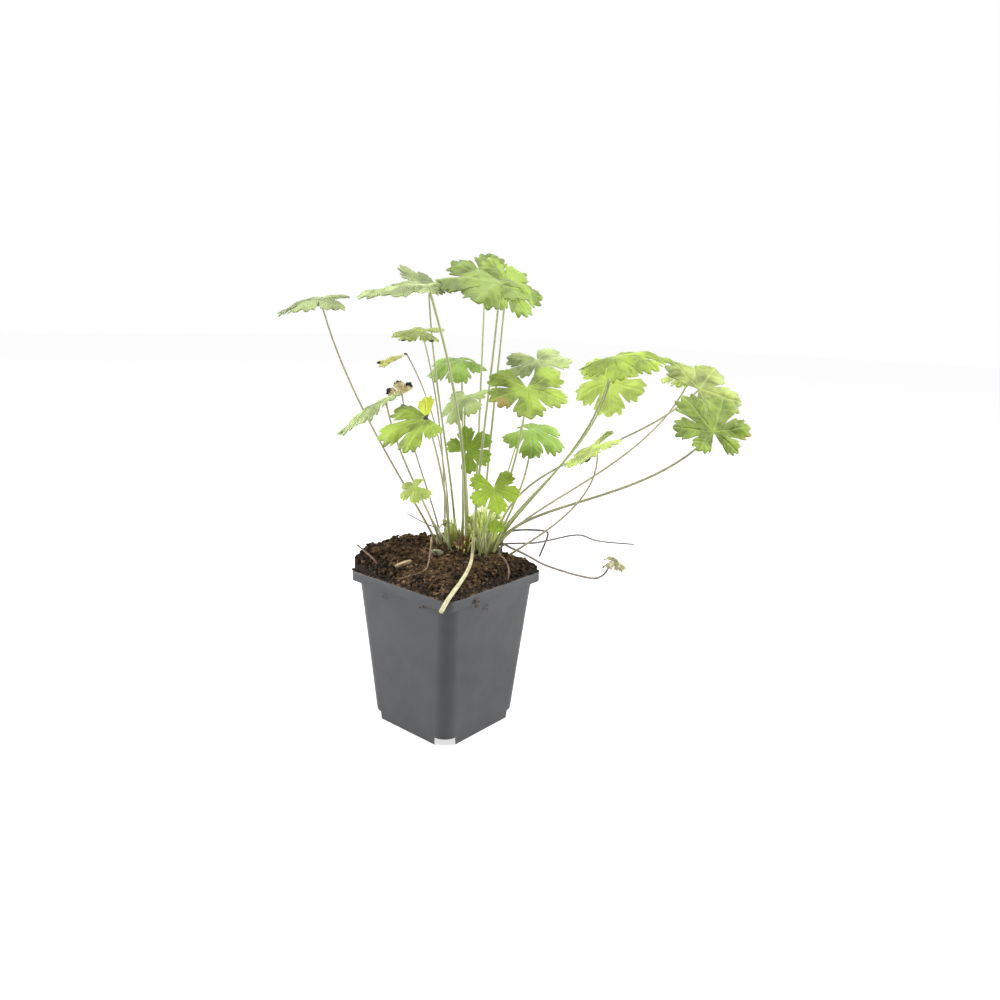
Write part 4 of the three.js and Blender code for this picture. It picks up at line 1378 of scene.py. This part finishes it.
@dataclass
class Crown:
    """The rootstock: slim bases of stalks in dense clumps, brown papery scales, and new leaves."""

    low: float = 100.0
    high: float = 113.0
    # The two clumps of the solid, and before them a scaly heap and a thicket of slim young stalks.
    clumps: tuple[Clump, ...] = (Clump((3.6, 19.5), (3.6, 4.4), 20.0, 56, 12),
                                 Clump((21.5, 17.0), (5.8, 7.0), 27.0, 110, 22))
    heap: Clump = Clump((11.5, 8.5), (5.4, 4.2), 9.0, 16, 110)
    thicket: Clump = Clump((24.0, 8.0), (6.8, 5.0), 31.0, 210, 10)
    arch: tuple[Point, ...] = ((-6.7, 14, 112), (-5.6, 14, 125.2), (-0.3, 14, 129.4), (5.4, 14, 125.8),
                               (8.4, 14.5, 117))
    # Hub, and size, turn, lean and bearing of the lean.
    buds: tuple[tuple[Point, Point], ...] = (
        ((21, 8, 138), (6.5, 250, 68, 265)), ((30, 9, 137), (6.5, 300, 60, 290)),
        ((15, 11, 134), (5, 210, 66, 240)), ((35, 9, 131), (6, 340, 66, 300)),
        ((0, 14, 130), (4.5, 200, 66, 250)),
    )
    stub_radii: tuple[float, float] = (0.38, 0.8)

    def __post_init__(self) -> None:
        """Dresses all that grows there, in the order of Growth."""
        self.chance = random.Random(7)
        self.mesh = MeshData("rise")
        self.finishes = (
            StalkBase("stub", "#bcbc73", "#cbda76").material(),
            StalkBase("scale", "#593c2c", "#a67c5b").material(),
            StalkBase("stub_pale", "#c5c495", "#e7ebb5").material(),
            StalkBase("stub_tan", "#866f52", "#b5aa84").material(),
            LeafSkin("bud", "#a8b850", 0.5).material(),
        )

    def add_body(self, clump: Clump) -> None:
        """Adds a clump's own egg-shaped body.

        Args:
            clump: the clump.
        """
        line = [Vector((*clump.middle, self.low + (self.high - self.low) * i / 8)) for i in range(9)]

        def radius(along: float, angle: float) -> float:
            """Gives the body's radius: an egg with shallow folds.

            Args:
                along: share of the way up.
                angle: bearing, in radians.

            Returns:
                The radius.
            """
            egg = math.sin(math.pi * (0.2 + 0.72 * along)) ** 0.6
            round_reach = 1 / math.hypot(math.cos(angle) / clump.half[0], math.sin(angle) / clump.half[1])
            return egg * round_reach * (1 + 0.1 * math.sin(7 * angle + 5 * along))

        points, faces, _ = tube(line, radius, 28)
        self.mesh.add(points, faces, Growth.SCALE, rise=0.1)

    def spread(self, clump: Clump, bearing: float, out: float, height: float) -> Vector:
        """Finds a place in or on a clump.

        Args:
            clump: the clump.
            bearing: degrees round its middle.
            out: share of the way from its middle to its side.
            height: height of the place.

        Returns:
            The place.
        """
        spoke = toward(bearing)
        return Vector((clump.middle[0] + out * clump.half[0] * spoke.x,
                       clump.middle[1] + out * clump.half[1] * spoke.y, height))

    def add_stub(self, clump: Clump, number: int) -> None:
        """Adds the base of a stalk: it stands in the clump and fans out from it.

        Args:
            clump: the clump.
            number: the stub's number.
        """
        chance = self.chance
        bearing = GOLDEN_ANGLE * number
        out = 0.85 * math.sqrt((number + 0.5) / clump.stubs)
        foot = self.spread(clump, bearing, out, self.high - 6)
        height = 6 + clump.tall * chance.uniform(0.3, 1.0) * (1.05 - 0.35 * out)
        lean = toward(bearing) * (chance.uniform(1.5, 8.0) * out) + toward(chance.uniform(0, 360)) * 1.0
        line = smooth_path((foot, foot + lean * 0.25 + Vector((0, 0, height * 0.5)),
                            foot + lean + Vector((0, 0, height))), 4)
        thick = chance.uniform(*self.stub_radii)
        points, faces, along = tube(line, lambda along, angle: thick * (1.25 - 0.6 * along), 7)
        finish = chance.choice((Growth.STUB,) * 5 + (Growth.PALE_STUB,) * 3 + (Growth.TAN_STUB,))
        start = chance.uniform(-0.1, 0.2)
        self.mesh.add(points, faces, finish, rise=[start + share for share in along])

    def add_scale(self, clump: Clump, number: int) -> None:
        """Adds a papery scale: a narrow blade with a pointed tip that stands against the clump.

        Args:
            clump: the clump.
            number: the scale's number.
        """
        chance = self.chance
        bearing = GOLDEN_ANGLE * number + chance.uniform(-20, 20)
        spoke, side = toward(bearing), toward(bearing + 90)
        out = chance.uniform(0.3, 1.0)
        foot = self.spread(clump, bearing, out, self.high - 4)
        height, width = chance.uniform(5, 13) * (1.3 - 0.5 * out), chance.uniform(1.2, 2.6)
        points, rise = [], []
        for i in range(6):
            share = i / 5
            middle = foot + Vector((0, 0, height * share)) + spoke * (1.6 * share**2)
            half = width * (1 - share**2) * 0.5 + 0.05
            for across in (-1, 0, 1):
                points.append(middle + side * (half * across) - spoke * (0.4 * abs(across)))
                rise.append(share)
        faces = [(3 * i + k, 3 * i + k + 1, 3 * i + k + 4, 3 * i + k + 3) for i in range(5) for k in (0, 1)]
        inner = [point - spoke * 0.15 for point in points]
        self.mesh.add(points, faces, Growth.SCALE, rise=rise)
        self.mesh.add(inner, [face[::-1] for face in faces], Growth.SCALE, rise=rise)

    def add_clump(self, clump: Clump) -> None:
        """Adds a clump with all that stands in it.

        Args:
            clump: the clump.
        """
        self.add_body(clump)
        for number in range(clump.stubs):
            self.add_stub(clump, number)
        for number in range(clump.scales):
            self.add_scale(clump, number)

    def make(self) -> None:
        """Makes the two clumps of the solid, and the growth before them."""
        for clump in self.clumps:
            self.add_clump(clump)
        declare(self.mesh.piece("crown_fine", PLANT_PLACING, self.finishes), Slot.CROWN, "crown")
        self.mesh = MeshData(*LEAF_LAYERS)
        self.add_clump(self.heap)
        self.add_clump(self.thicket)
        points, faces, _ = tube(smooth_path(self.arch, 8), lambda along, angle: 0.5 - 0.15 * along, 8)
        self.mesh.add(points, faces, Growth.TAN_STUB, rise=0.6)
        for hub, (size, *pose) in self.buds:
            bud = Leaf.from_row(("bud", hub, (0, 0), (size, 3, 46), pose, (30, -0.9, 0), (0, 0, 1)))
            Blade(bud).add_to(self.mesh, upper=Growth.BUD, lower=Growth.BUD, lift=0.1)
        declare(self.mesh.piece("young_stalks", PLANT_PLACING, self.finishes), Slot.CROWN)


# ---------------------------------------------------------------- pot


@dataclass
class NurseryPot:
    """The square nursery pot: sloping walls, a stepped-out rim, corner notches at the foot, and drains."""

    rim_half: float = 44.0
    height: float = 101.0
    base_half: float = 33.6
    top_half: float = 41.6
    wall: float = 1.0
    floor: float = 1.6
    rim_drop: float = 6.5
    wall_radius: float = 9.2
    rim_radius: float = 5.0
    notch_width: float = 13.0
    notch_height: float = 5.5
    notch_inner: float = 31.0
    drain_radius: float = 4.0
    drain_spread: float = 17.0
    corner_steps: int = 14
    fillet: float = 0.45
    fillet_steps: int = 3
    lip: float = 0.35  # width of the bevel inside the top edge
    overlap: float = 0.3  # how far the walls reach up into the rim
    past: float = 0.1  # how far the bevel's tool stands out past it
    smooth_below: float = 38.0  # degrees between faces that are shaded as one

    @property
    def step(self) -> float:
        """Height of the underside of the rim."""
        return self.height - self.rim_drop

    def block(self, halves: tuple[float, float], levels: tuple[float, float], radius: float,
              fillets: tuple[float, float] = (0.0, 0.0)) -> bpy.types.Object:
        """Shapes a square block with sloping sides out of a cube.

        Args:
            halves: half widths at the bottom and at the top.
            levels: heights of the bottom and of the top.
            radius: radius of its upright corners.
            fillets: radii of the bottom and of the top edge, 0 where it stays sharp.

        Returns:
            The block, in millimetres.
        """
        wide = 2 * halves[0]
        block = start_from_cube((wide, wide, levels[1] - levels[0]), (0, 0, sum(levels) / 2))
        choose(block, "faces", lambda face: face.normal.z > 0.5)
        growth = halves[1] / halves[0]
        bpy.ops.transform.resize(value=(growth, growth, 1))
        bpy.ops.mesh.select_mode(type="EDGE")
        choose(block, "edges", lambda edge: abs(edge.verts[0].co.z - edge.verts[1].co.z) > 0.1)
        bpy.ops.mesh.bevel(offset=radius, offset_type="OFFSET", segments=self.corner_steps, profile=0.5,
                           affect="EDGES")
        for level, fillet in zip(levels, fillets):
            if fillet:
                choose(block, "edges", lambda edge: all(abs(end.co.z - level) < 0.01 for end in edge.verts))
                bpy.ops.mesh.bevel(offset=fillet, offset_type="OFFSET", segments=self.fillet_steps,
                                   profile=0.5, affect="EDGES")
        bpy.ops.object.mode_set(mode="OBJECT")
        return block

    @staticmethod
    def combine(body: bpy.types.Object, tool: bpy.types.Object, operation: str) -> None:
        """Joins a tool to a body, or takes it away, for good.

        Args:
            body: the solid that is kept.
            tool: the solid that is used up.
            operation: UNION or DIFFERENCE.
        """
        apply_modifier(body, "BOOLEAN", operation=operation, solver="EXACT", object=tool)
        bpy.data.objects.remove(tool)

    def cut_at_corners(self, body: bpy.types.Object, tool: bpy.types.Object, bearing: float) -> None:
        """Takes a tool that points along X away from a body at all four corners, and removes it.

        Args:
            body: the solid.
            tool: the tool.
            bearing: where the first one goes.
        """
        for corner in range(4):
            copy = tool.copy()
            copy.data = tool.data.copy()
            bpy.context.scene.collection.objects.link(copy)
            copy.data.transform(Matrix.Rotation(math.radians(bearing + 90 * corner), 4, "Z"))
            self.combine(body, copy, "DIFFERENCE")
        bpy.data.objects.remove(tool)

    def notch(self, grow: float) -> bpy.types.Object:
        """Shapes the tool that cuts a notch.

        Args:
            grow: how much larger it is than the notch, on each side.

        Returns:
            The tool, which points along X.
        """
        wide = self.notch_width + 2 * grow
        start_from_cube((self.notch_width + wide, wide, 2 * (self.notch_height + grow)),
                        (self.notch_inner + self.notch_width, 0, 0))
        bpy.ops.object.mode_set(mode="OBJECT")
        return bpy.context.object

    def drain(self) -> bpy.types.Object:
        """Shapes the plug of a drain hole.

        Returns:
            The plug, out along X.
        """
        bpy.ops.object.select_all(action="DESELECT")
        bpy.ops.mesh.primitive_cylinder_add(vertices=48, radius=self.drain_radius, depth=4 * self.floor)
        plug = bpy.context.object
        plug.data.transform(Matrix.Translation((self.drain_spread * math.sqrt(2), 0, 0)))
        return plug

    def make(self) -> None:
        """Shapes the pot from two blocks, hollows it, and cuts its notches and holes."""
        hollow = self.block((self.base_half - self.wall, self.top_half - self.wall),
                            (self.floor, self.step + self.wall + self.overlap), self.wall_radius - self.wall)
        self.cut_at_corners(hollow, self.notch(self.wall), 45)
        pot = self.block((self.base_half, self.top_half), (0, self.step + self.overlap), self.wall_radius,
                         (self.fillet, 0))
        rim = self.block((self.rim_half, self.rim_half), (self.step, self.height), self.rim_radius,
                         (self.fillet, self.fillet))
        self.combine(pot, rim, "UNION")
        self.combine(pot, hollow, "DIFFERENCE")
        inner, top = self.rim_half - self.wall, self.height
        for halves, levels in (
            ((inner, inner), (self.step + self.wall, top + 1)),
            ((inner - self.past, inner + self.lip + self.past),
             (top - self.lip - self.past, top + self.past)),
        ):
            self.combine(pot, self.block(halves, levels, self.rim_radius - self.wall), "DIFFERENCE")
        self.cut_at_corners(pot, self.notch(0.0), 45)
        self.cut_at_corners(pot, self.drain(), 45)
        pot.data.transform(POT_PLACING)
        pot.data.materials.clear()
        pot.data.materials.append(Polypropylene().material())
        bpy.ops.object.select_all(action="DESELECT")
        pot.select_set(True)
        bpy.context.view_layer.objects.active = pot
        bpy.ops.object.shade_smooth_by_angle(angle=math.radians(self.smooth_below))
        pot.name = "pot_fine"
        declare(pot, Slot.POT, "nursery_pot")


# ---------------------------------------------------------------- soil


@dataclass
class Peat:
    """The peat: a bed with clods and pits, down to the pot's floor, and crumbs and fibres over it."""

    pot: NurseryPot
    litter: Litter
    gap: float = 0.3
    edge: float = 100.9  # height of the peat at the rim
    heap: float = 10.2  # how much higher its middle is
    bank: float = 14.0  # how much higher its left side is still
    # Height and width of its clods, its lumps and its grit, and where in the noise each starts.
    relief: tuple[tuple[float, float, float], ...] = ((2.4, 7.5, 0), (1.4, 2.9, 4), (0.5, 0.9, 9))
    cells: int = 160
    clods: int = 130
    crumbs: int = 2800
    edge_crumbs: int = 1500
    fibres: int = 620
    bits: int = 150
    # Clods that stand up from the back of the peat, in the plant's frame: place and radius.
    standing: tuple[tuple[Point, float], ...] = (
        ((-27, 28), 3.0), ((-24, 29), 1.8), ((-15.5, 36), 2.0), ((-47, 8), 2.2), ((-36, 20), 1.8),
        ((-50, 1), 1.7),
    )
    # Clusters of crumbs lying on the rim: middle, reach along X and Y, number.
    spills: tuple[tuple[Point, Point, int], ...] = (
        ((-41.6, -41.6), (2.2, 2.2), 30), ((-26, -43.2), (5, 0.5), 12), ((4, -43.2), (7, 0.5), 16),
        ((36, -43.3), (5, 0.7), 16), ((43.4, -31), (0.6, 4), 14), ((43.4, 8), (0.6, 8), 12),
        ((42.8, 40), (0.9, 3), 22), ((-43.3, 5), (0.6, 9), 14), ((6, 43.3), (9, 0.6), 14),
        ((-20, -43.0), (24, 0.7), 150), ((20, -43.0), (24, 0.7), 150),
        ((43.0, -20), (0.7, 24), 150), ((43.0, 20), (0.7, 24), 150),
    )
    # Bits of peat and fibre that cling to the outside: middle, reach along X, Y and Z, number.
    clinging: tuple[tuple[Point, Point, int], ...] = (
        ((44.3, -20.5, 96.2), (0.1, 3.2, 3.4), 26), ((42.6, -8.5, 88.5), (0.1, 1.2, 2.0), 8),
        ((-13, -42.5, 90.5), (3.0, 0.1, 1.2), 5), ((22, -42.5, 92), (4.0, 0.1, 1.5), 5),
    )

    def __post_init__(self) -> None:
        """Shapes the one crumb that all are copied from, and notes what lies on the peat."""
        self.random = random.Random(31)
        self.mesh = MeshData("shade")
        self.half = self.pot.rim_half - self.pot.wall - self.gap
        self.corner = self.pot.rim_radius - self.pot.wall
        bpy.ops.object.select_all(action="DESELECT")
        bpy.ops.mesh.primitive_ico_sphere_add(subdivisions=1, radius=1)
        crumb = bpy.context.object
        self.crumb_corners = [vertex.co.copy() for vertex in crumb.data.vertices]
        self.crumb_faces = [tuple(face.vertices) for face in crumb.data.polygons]
        bpy.data.objects.remove(crumb)
        self.lying = self.lying_points()

    def lying_points(self) -> np.ndarray:
        """Finds all that lies on the peat.

        Returns:
            Points on it in the pot's frame, each with its radius.
        """
        turn = Matrix.Rotation(math.radians(PLANT_TURN), 3, "Z")
        rows: list[tuple[float, ...]] = []
        for strand in STRANDS:
            rows += [(*(turn @ spot), max(strand.radii)) for spot in smooth_path(strand.points, 12)]
        rows.append((*(turn @ Vector(self.litter.chip_spot)), self.litter.chip_size[2]))
        moss, tall = turn @ Vector(self.litter.moss_spot), self.litter.moss_size[2]
        rows += [(moss.x + x, moss.y + y, moss.z, tall) for x in (-2, 0, 2) for y in (-2, 0, 2)]
        return np.array(rows)

    def level(self, x: float, y: float) -> float:
        """Gives the height of the plain peat.

        Args:
            x: place in the pot's frame.
            y: place in the pot's frame.

        Returns:
            The height.
        """
        turn = math.radians(PLANT_TURN)
        rim = self.pot.rim_half
        out = max(abs(x), abs(y)) / rim
        left = -(x * math.cos(turn) + y * math.sin(turn)) / rim
        back = (y * math.cos(turn) - x * math.sin(turn)) / rim
        heap = self.heap * (1 - out**5)
        bank = self.bank * max(0.0, left) * min(1.0, max(0.0, back + 0.5)) * (1 - out**16)
        return self.edge + heap + bank + 1.5 * back * (1 - out**4)

    def rough_level(self, x: float, y: float) -> float:
        """Gives the peat's height with its clods and pits, calmer at the rim, and below what lies on it.

        Args:
            x: place in the pot's frame.
            y: place in the pot's frame.

        Returns:
            The height.
        """
        calm = 1 - 0.3 * (max(abs(x), abs(y)) / self.half) ** 10
        clods, lumps, grit = (height * noise.noise(Vector((x / width, y / width, start)))
                              for height, width, start in self.relief)
        plain = self.level(x, y)
        away = np.hypot(self.lying[:, 0] - x, self.lying[:, 1] - y)
        near = (away < 4) & (self.lying[:, 2] > plain - 1.0)
        bed = self.lying[:, 2] - self.lying[:, 3] + 0.8 * np.maximum(0, away - self.lying[:, 3])
        limit = float(bed[near].min()) if near.any() else math.inf
        return min(plain + (clods + lumps) * calm + grit, limit)

    def covered(self, x: float, y: float, size: float) -> bool:
        """Says whether a crumb would bury something that lies on the peat.

        Args:
            x: place in the pot's frame.
            y: place in the pot's frame.
            size: the crumb's radius.

        Returns:
            True if it would.
        """
        away = np.hypot(self.lying[:, 0] - x, self.lying[:, 1] - y)
        near = away < self.lying[:, 3] + size
        return bool((near & (np.abs(self.lying[:, 2] - self.level(x, y)) < 3)).any())

    def add_bed(self) -> None:
        """Adds one closed body: the rough surface, and plain sides and a floor that clear the pot."""
        pot = self.pot
        count, last = self.cells + 1, self.cells
        points, shades = [], []
        for i in range(count):
            for j in range(count):
                x, y = rounded(2 * i / last - 1, 2 * j / last - 1, self.half, self.corner)
                points.append((x, y, self.rough_level(x, y)))
                # painted shade: the peat is darker on its slope down to the rim
                painted_rim_shade = (max(abs(x), abs(y)) / self.half) ** 12
                shades.append(0.28 + 0.3 * noise.noise(Vector((x / 2, y / 2, 20))) - 0.4 * painted_rim_shade)
        faces = [(i * count + j, (i + 1) * count + j, (i + 1) * count + j + 1, i * count + j + 1)
                 for i in range(last) for j in range(last)]
        rim = [(i, 0) for i in range(last)] + [(last, j) for j in range(last)]
        rim += [(i, last) for i in range(last, 0, -1)] + [(0, j) for j in range(last, 0, -1)]
        above = [i * count + j for i, j in rim]
        step = pot.step + pot.wall + self.gap
        pockets = pot.notch_height + pot.wall + self.gap  # height of the notches' own walls
        foot, corner = pot.base_half - pot.wall - self.gap, pot.wall_radius - pot.wall
        clear = pot.notch_inner - pot.wall - self.gap
        for half, radius, height, reach in (
            (self.half, self.corner, step, math.inf),
            (pot.top_half - pot.wall - self.gap, corner, step, math.inf),
            (foot, corner, pockets + 0.5, math.inf), (foot, corner, pockets + 0.4, clear),
            (foot, corner, pot.floor + self.gap, clear),
        ):
            below = list(range(len(points), len(points) + len(rim)))
            for i, j in rim:
                spot = Vector((*rounded(2 * i / last - 1, 2 * j / last - 1, half, radius), 0))
                spot *= min(1.0, reach / spot.length)
                points.append((spot.x, spot.y, height))
            ring = len(rim)
            faces += [(above[(k + 1) % ring], above[k], below[k], below[(k + 1) % ring]) for k in range(ring)]
            above = below
        points.append((0.0, 0.0, pot.floor + self.gap))
        faces += [(above[(k + 1) % len(above)], above[k], len(points) - 1) for k in range(len(above))]
        shades += [0.2] * (len(points) - len(shades))
        self.mesh.add(points, faces, shade=shades)

    def spot(self) -> tuple[float, float]:
        """Gives a random place on the peat."""
        u, v = self.random.uniform(-0.97, 0.97), self.random.uniform(-0.97, 0.97)
        return rounded(u, v, self.half, self.corner)

    def lump(self, middle: Vector, size: float, shade: float, stretch: Point = (1.3, 0.85, 0.75)) -> None:
        """Adds a copy of the crumb, turned and dented at random.

        Args:
            middle: its middle.
            size: its radius.
            shade: how light it is, from 0 to 1.
            stretch: how long it is each way.
        """
        spin = Matrix.Rotation(self.random.uniform(0, 6.3), 3, "Z")
        turn = spin @ Matrix.Rotation(self.random.uniform(0, 3), 3, "X")
        points = []
        for corner in self.crumb_corners:
            reach = size * (1 + 0.3 * self.random.uniform(-1, 1))
            points.append(middle + turn @ Vector([c * s * reach for c, s in zip(corner, stretch)]))
        self.mesh.add(points, self.crumb_faces, shade=shade)

    def grow_clod(self, heart: Vector, size: float, shade: float) -> None:
        """Adds a few crumbs grown together.

        Args:
            heart: the clod's middle.
            size: its radius.
            shade: how light it is, from 0 to 1.
        """
        for _ in range(9):
            step = Vector([self.random.uniform(-0.75, 0.75) * size for _ in range(3)])
            own = size * self.random.uniform(0.35, 0.7)
            self.lump(heart + step, own, shade + self.random.uniform(-0.1, 0.2))

    def add_clod(self) -> None:
        """Adds a clod anywhere on the peat."""
        x, y = self.spot()
        size = self.random.uniform(0.9, 2.3) * (1 if max(abs(x), abs(y)) < 36 else 0.6)
        if not self.covered(x, y, size):
            heart = Vector((x, y, self.rough_level(x, y) + 0.35 * size))
            self.grow_clod(heart, size, self.random.uniform(0.0, 0.4))

    def add_standing_clods(self) -> None:
        """Adds the clods that stand up at the back."""
        turn = Matrix.Rotation(math.radians(PLANT_TURN), 2)
        for place, size in self.standing:
            x, y = turn @ Vector(place)
            heart = Vector((x, y, self.rough_level(x, y) + 0.6 * size))
            self.grow_clod(heart, size, -0.1)

    def add_crumb(self) -> None:
        """Adds a crumb anywhere on the peat."""
        x, y = self.spot()
        size = 0.35 + 1.25 * self.random.random() ** 3
        if not self.covered(x, y, size):
            middle = Vector((x, y, self.rough_level(x, y) + 0.25 * size))
            self.lump(middle, size, self.random.uniform(0.0, 0.65))

    def add_edge_crumb(self) -> None:
        """Adds a crumb on the slope down to the rim, where the peat is loose, in darker tones that are
        painted shade.
        """
        side, place = self.random.randrange(4), self.random.uniform(-0.99, 0.99)
        out = 0.985 - 0.165 * self.random.random() ** 2
        u, v = ((out, place), (place, out), (-out, place), (place, -out))[side]
        x, y = rounded(u, v, self.half, self.corner)
        size = 0.4 + 1.1 * self.random.random() ** 2
        if not self.covered(x, y, size):
            middle = Vector((x, y, self.rough_level(x, y) + 0.55 * size))
            # edge crumbs are painted darker, as shade on the slope
            self.lump(middle, size, self.random.uniform(-0.25, 0.35))

    def add_fibre(self) -> None:
        """Adds a fibre that lies over the crumbs."""
        x, y = self.spot()
        bearing, length = self.random.uniform(0, 360), self.random.uniform(2.5, 9)
        line = []
        for i in range(6):
            share = i / 5
            bend = 60 * (share - 0.5) * self.random.uniform(-1, 1)
            step = toward(bearing + bend) * (length * (share - 0.5))
            px = max(-self.half + 1, min(self.half - 1, x + step.x))
            py = max(-self.half + 1, min(self.half - 1, y + step.y))
            line.append(Vector((px, py, self.rough_level(px, py) + self.random.uniform(0.1, 1.2))))
        thick = self.random.uniform(0.1, 0.28)
        points, faces, _ = tube(line, lambda along, angle: thick * (1.2 - along), 4)
        self.mesh.add(points, faces, shade=self.random.uniform(0.2, 0.9))

    def add_bit(self) -> None:
        """Adds a pale, flat bit of straw or bark."""
        x, y = self.spot()
        middle = Vector((x, y, self.rough_level(x, y) + 0.3))
        stretch = (self.random.uniform(0.5, 1.7), self.random.uniform(0.25, 0.6), 0.2)
        self.lump(middle, 1.0, self.random.uniform(0.8, 1.1), stretch)

    def add_spills(self) -> None:
        """Adds crumbs on the rim and bits of peat that hang on the walls."""
        rim = self.pot.rim_half
        for (x, y), (wide, deep), number in self.spills:
            for _ in range(number):
                size = self.random.uniform(0.3, 0.95)
                u = (x + wide * self.random.gauss(0, 0.5)) / rim
                v = (y + deep * self.random.gauss(0, 0.5)) / rim
                px, py = rounded(max(-0.99, min(0.99, u)), max(-0.99, min(0.99, v)), rim, self.pot.rim_radius)
                middle = Vector((px, py, self.pot.height + 0.35 * size))
                self.lump(middle, size, self.random.uniform(-0.15, 0.4))
        for place, reach, number in self.clinging:
            for _ in range(number):
                middle = Vector([p + r * self.random.gauss(0, 0.5) for p, r in zip(place, reach)])
                self.lump(middle, self.random.uniform(0.2, 0.6), self.random.uniform(0.35, 0.8))

    def make(self) -> None:
        """Makes the peat in the pot, and what of it was spilt."""
        finish = DampPeat().material()
        self.add_bed()
        for number, add in ((self.clods, self.add_clod), (self.crumbs, self.add_crumb),
                            (self.edge_crumbs, self.add_edge_crumb), (self.fibres, self.add_fibre),
                            (self.bits, self.add_bit)):
            for _ in range(number):
                add()
        self.add_standing_clods()
        declare(self.mesh.piece("peat_fine", POT_PLACING, (finish,)), Slot.SOIL, "potting_soil")
        self.mesh = MeshData("shade")
        self.add_spills()
        declare(self.mesh.piece("peat_spilt", POT_PLACING, (finish,)), Slot.SOIL)


# ---------------------------------------------------------------- studio


@dataclass
class Studio:
    """The camera, the pale floor and the soft light of a white room with a dim side behind the camera."""

    camera_place: Point = (351.2, -368.2, 265.3)
    heading: float = 129.95
    pitch: float = -12.94
    roll: float = 1.93
    lens: float = 29.67
    floor_reach: float = 6000.0
    floor_tone: str = "#aaaaaa"
    floor_glow: float = 0.72
    aim: Point = (0.03, 0.03, 0.12)
    # Name, place in metres, side in metres, watts.
    lamps: tuple[tuple[str, Point, float, float], ...] = (
        ("left", (-0.9, -0.7, 0.55), 0.8, 21.0),
        ("right", (0.85, 0.8, 0.55), 0.8, 21.0),
        ("top", (0.1, -0.1, 1.4), 0.8, 25.0),
    )
    dim: float = 0.03  # brightness of the room behind the camera, as a share of the wall before it
    half_light: float = 0.6  # cosine of the heading where the light starts and ends to fall off

    def make_camera(self) -> None:
        """Makes the camera."""
        data = bpy.data.cameras.new("camera")
        data.lens = self.lens
        data.sensor_width = 36.0
        camera = bpy.data.objects.new("camera", data)
        bpy.context.scene.collection.objects.link(camera)
        turn = toward(self.heading, self.pitch).to_track_quat("-Z", "Y").to_matrix().to_4x4()
        roll = Matrix.Rotation(math.radians(self.roll), 4, "Z")
        camera.matrix_world = Matrix.Translation(Vector(self.camera_place) * MM) @ turn @ roll
        bpy.context.scene.camera = camera

    def make_floor(self) -> None:
        """Makes the pale floor, which glows a little so that it meets the white room without a line."""
        data = MeshData()
        reach = self.floor_reach
        corners = [(-reach, -reach, 0), (reach, -reach, 0), (reach, reach, 0), (-reach, reach, 0)]
        data.add(corners, [(0, 1, 2, 3)])
        material, _, shader = blank_material("pale_floor")
        feed(shader, {"Base Color": linear(self.floor_tone), "Roughness": 0.9,
                      "Emission Color": linear("#ffffff"), "Emission Strength": self.floor_glow})
        data.piece("floor", POT_PLACING, (material,))

    def make_room(self) -> None:
        """Makes the white room: full brightness where the camera looks, dim on its own side."""
        world = bpy.data.worlds.new("studio")
        world.use_nodes = True
        tree = world.node_tree
        way = add_node(tree, "ShaderNodeTexCoord").outputs["Generated"]
        facing = add_node(tree, "ShaderNodeVectorMath", {0: way, 1: toward(self.heading)},
                          operation="DOT_PRODUCT")
        strength = add_node(tree, RANGE, {0: facing.outputs["Value"], 1: -self.half_light, 2: self.half_light,
                                          3: self.dim}, **SMOOTH)
        feed(tree.nodes["Background"], {"Color": linear("#ffffff"), "Strength": strength})
        bpy.context.scene.world = world

    def make_lamps(self) -> None:
        """Makes the three square soft lamps."""
        for name, place, side, power in self.lamps:
            data = bpy.data.lights.new(name, "AREA")
            data.energy = power
            data.size = side
            light = bpy.data.objects.new(name, data)
            bpy.context.scene.collection.objects.link(light)
            facing = (Vector(self.aim) - Vector(place)).to_track_quat("-Z", "Y").to_matrix().to_4x4()
            light.matrix_world = Matrix.Translation(place) @ facing

    def make(self) -> None:
        """Makes all of it."""
        self.make_camera()
        self.make_floor()
        self.make_room()
        self.make_lamps()
        bpy.context.scene.view_settings.view_transform = "Standard"


# ---------------------------------------------------------------- scene


def main() -> None:
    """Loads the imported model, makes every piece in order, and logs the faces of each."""
    logging.basicConfig(level=logging.INFO, format="%(name)s: %(message)s")
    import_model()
    Studio().make()
    pot, litter = NurseryPot(), Litter()
    pot.make()
    Peat(pot, litter).make()
    Crown().make()
    litter.make()
    Foliage().make()


if __name__ == "__main__":
    main()
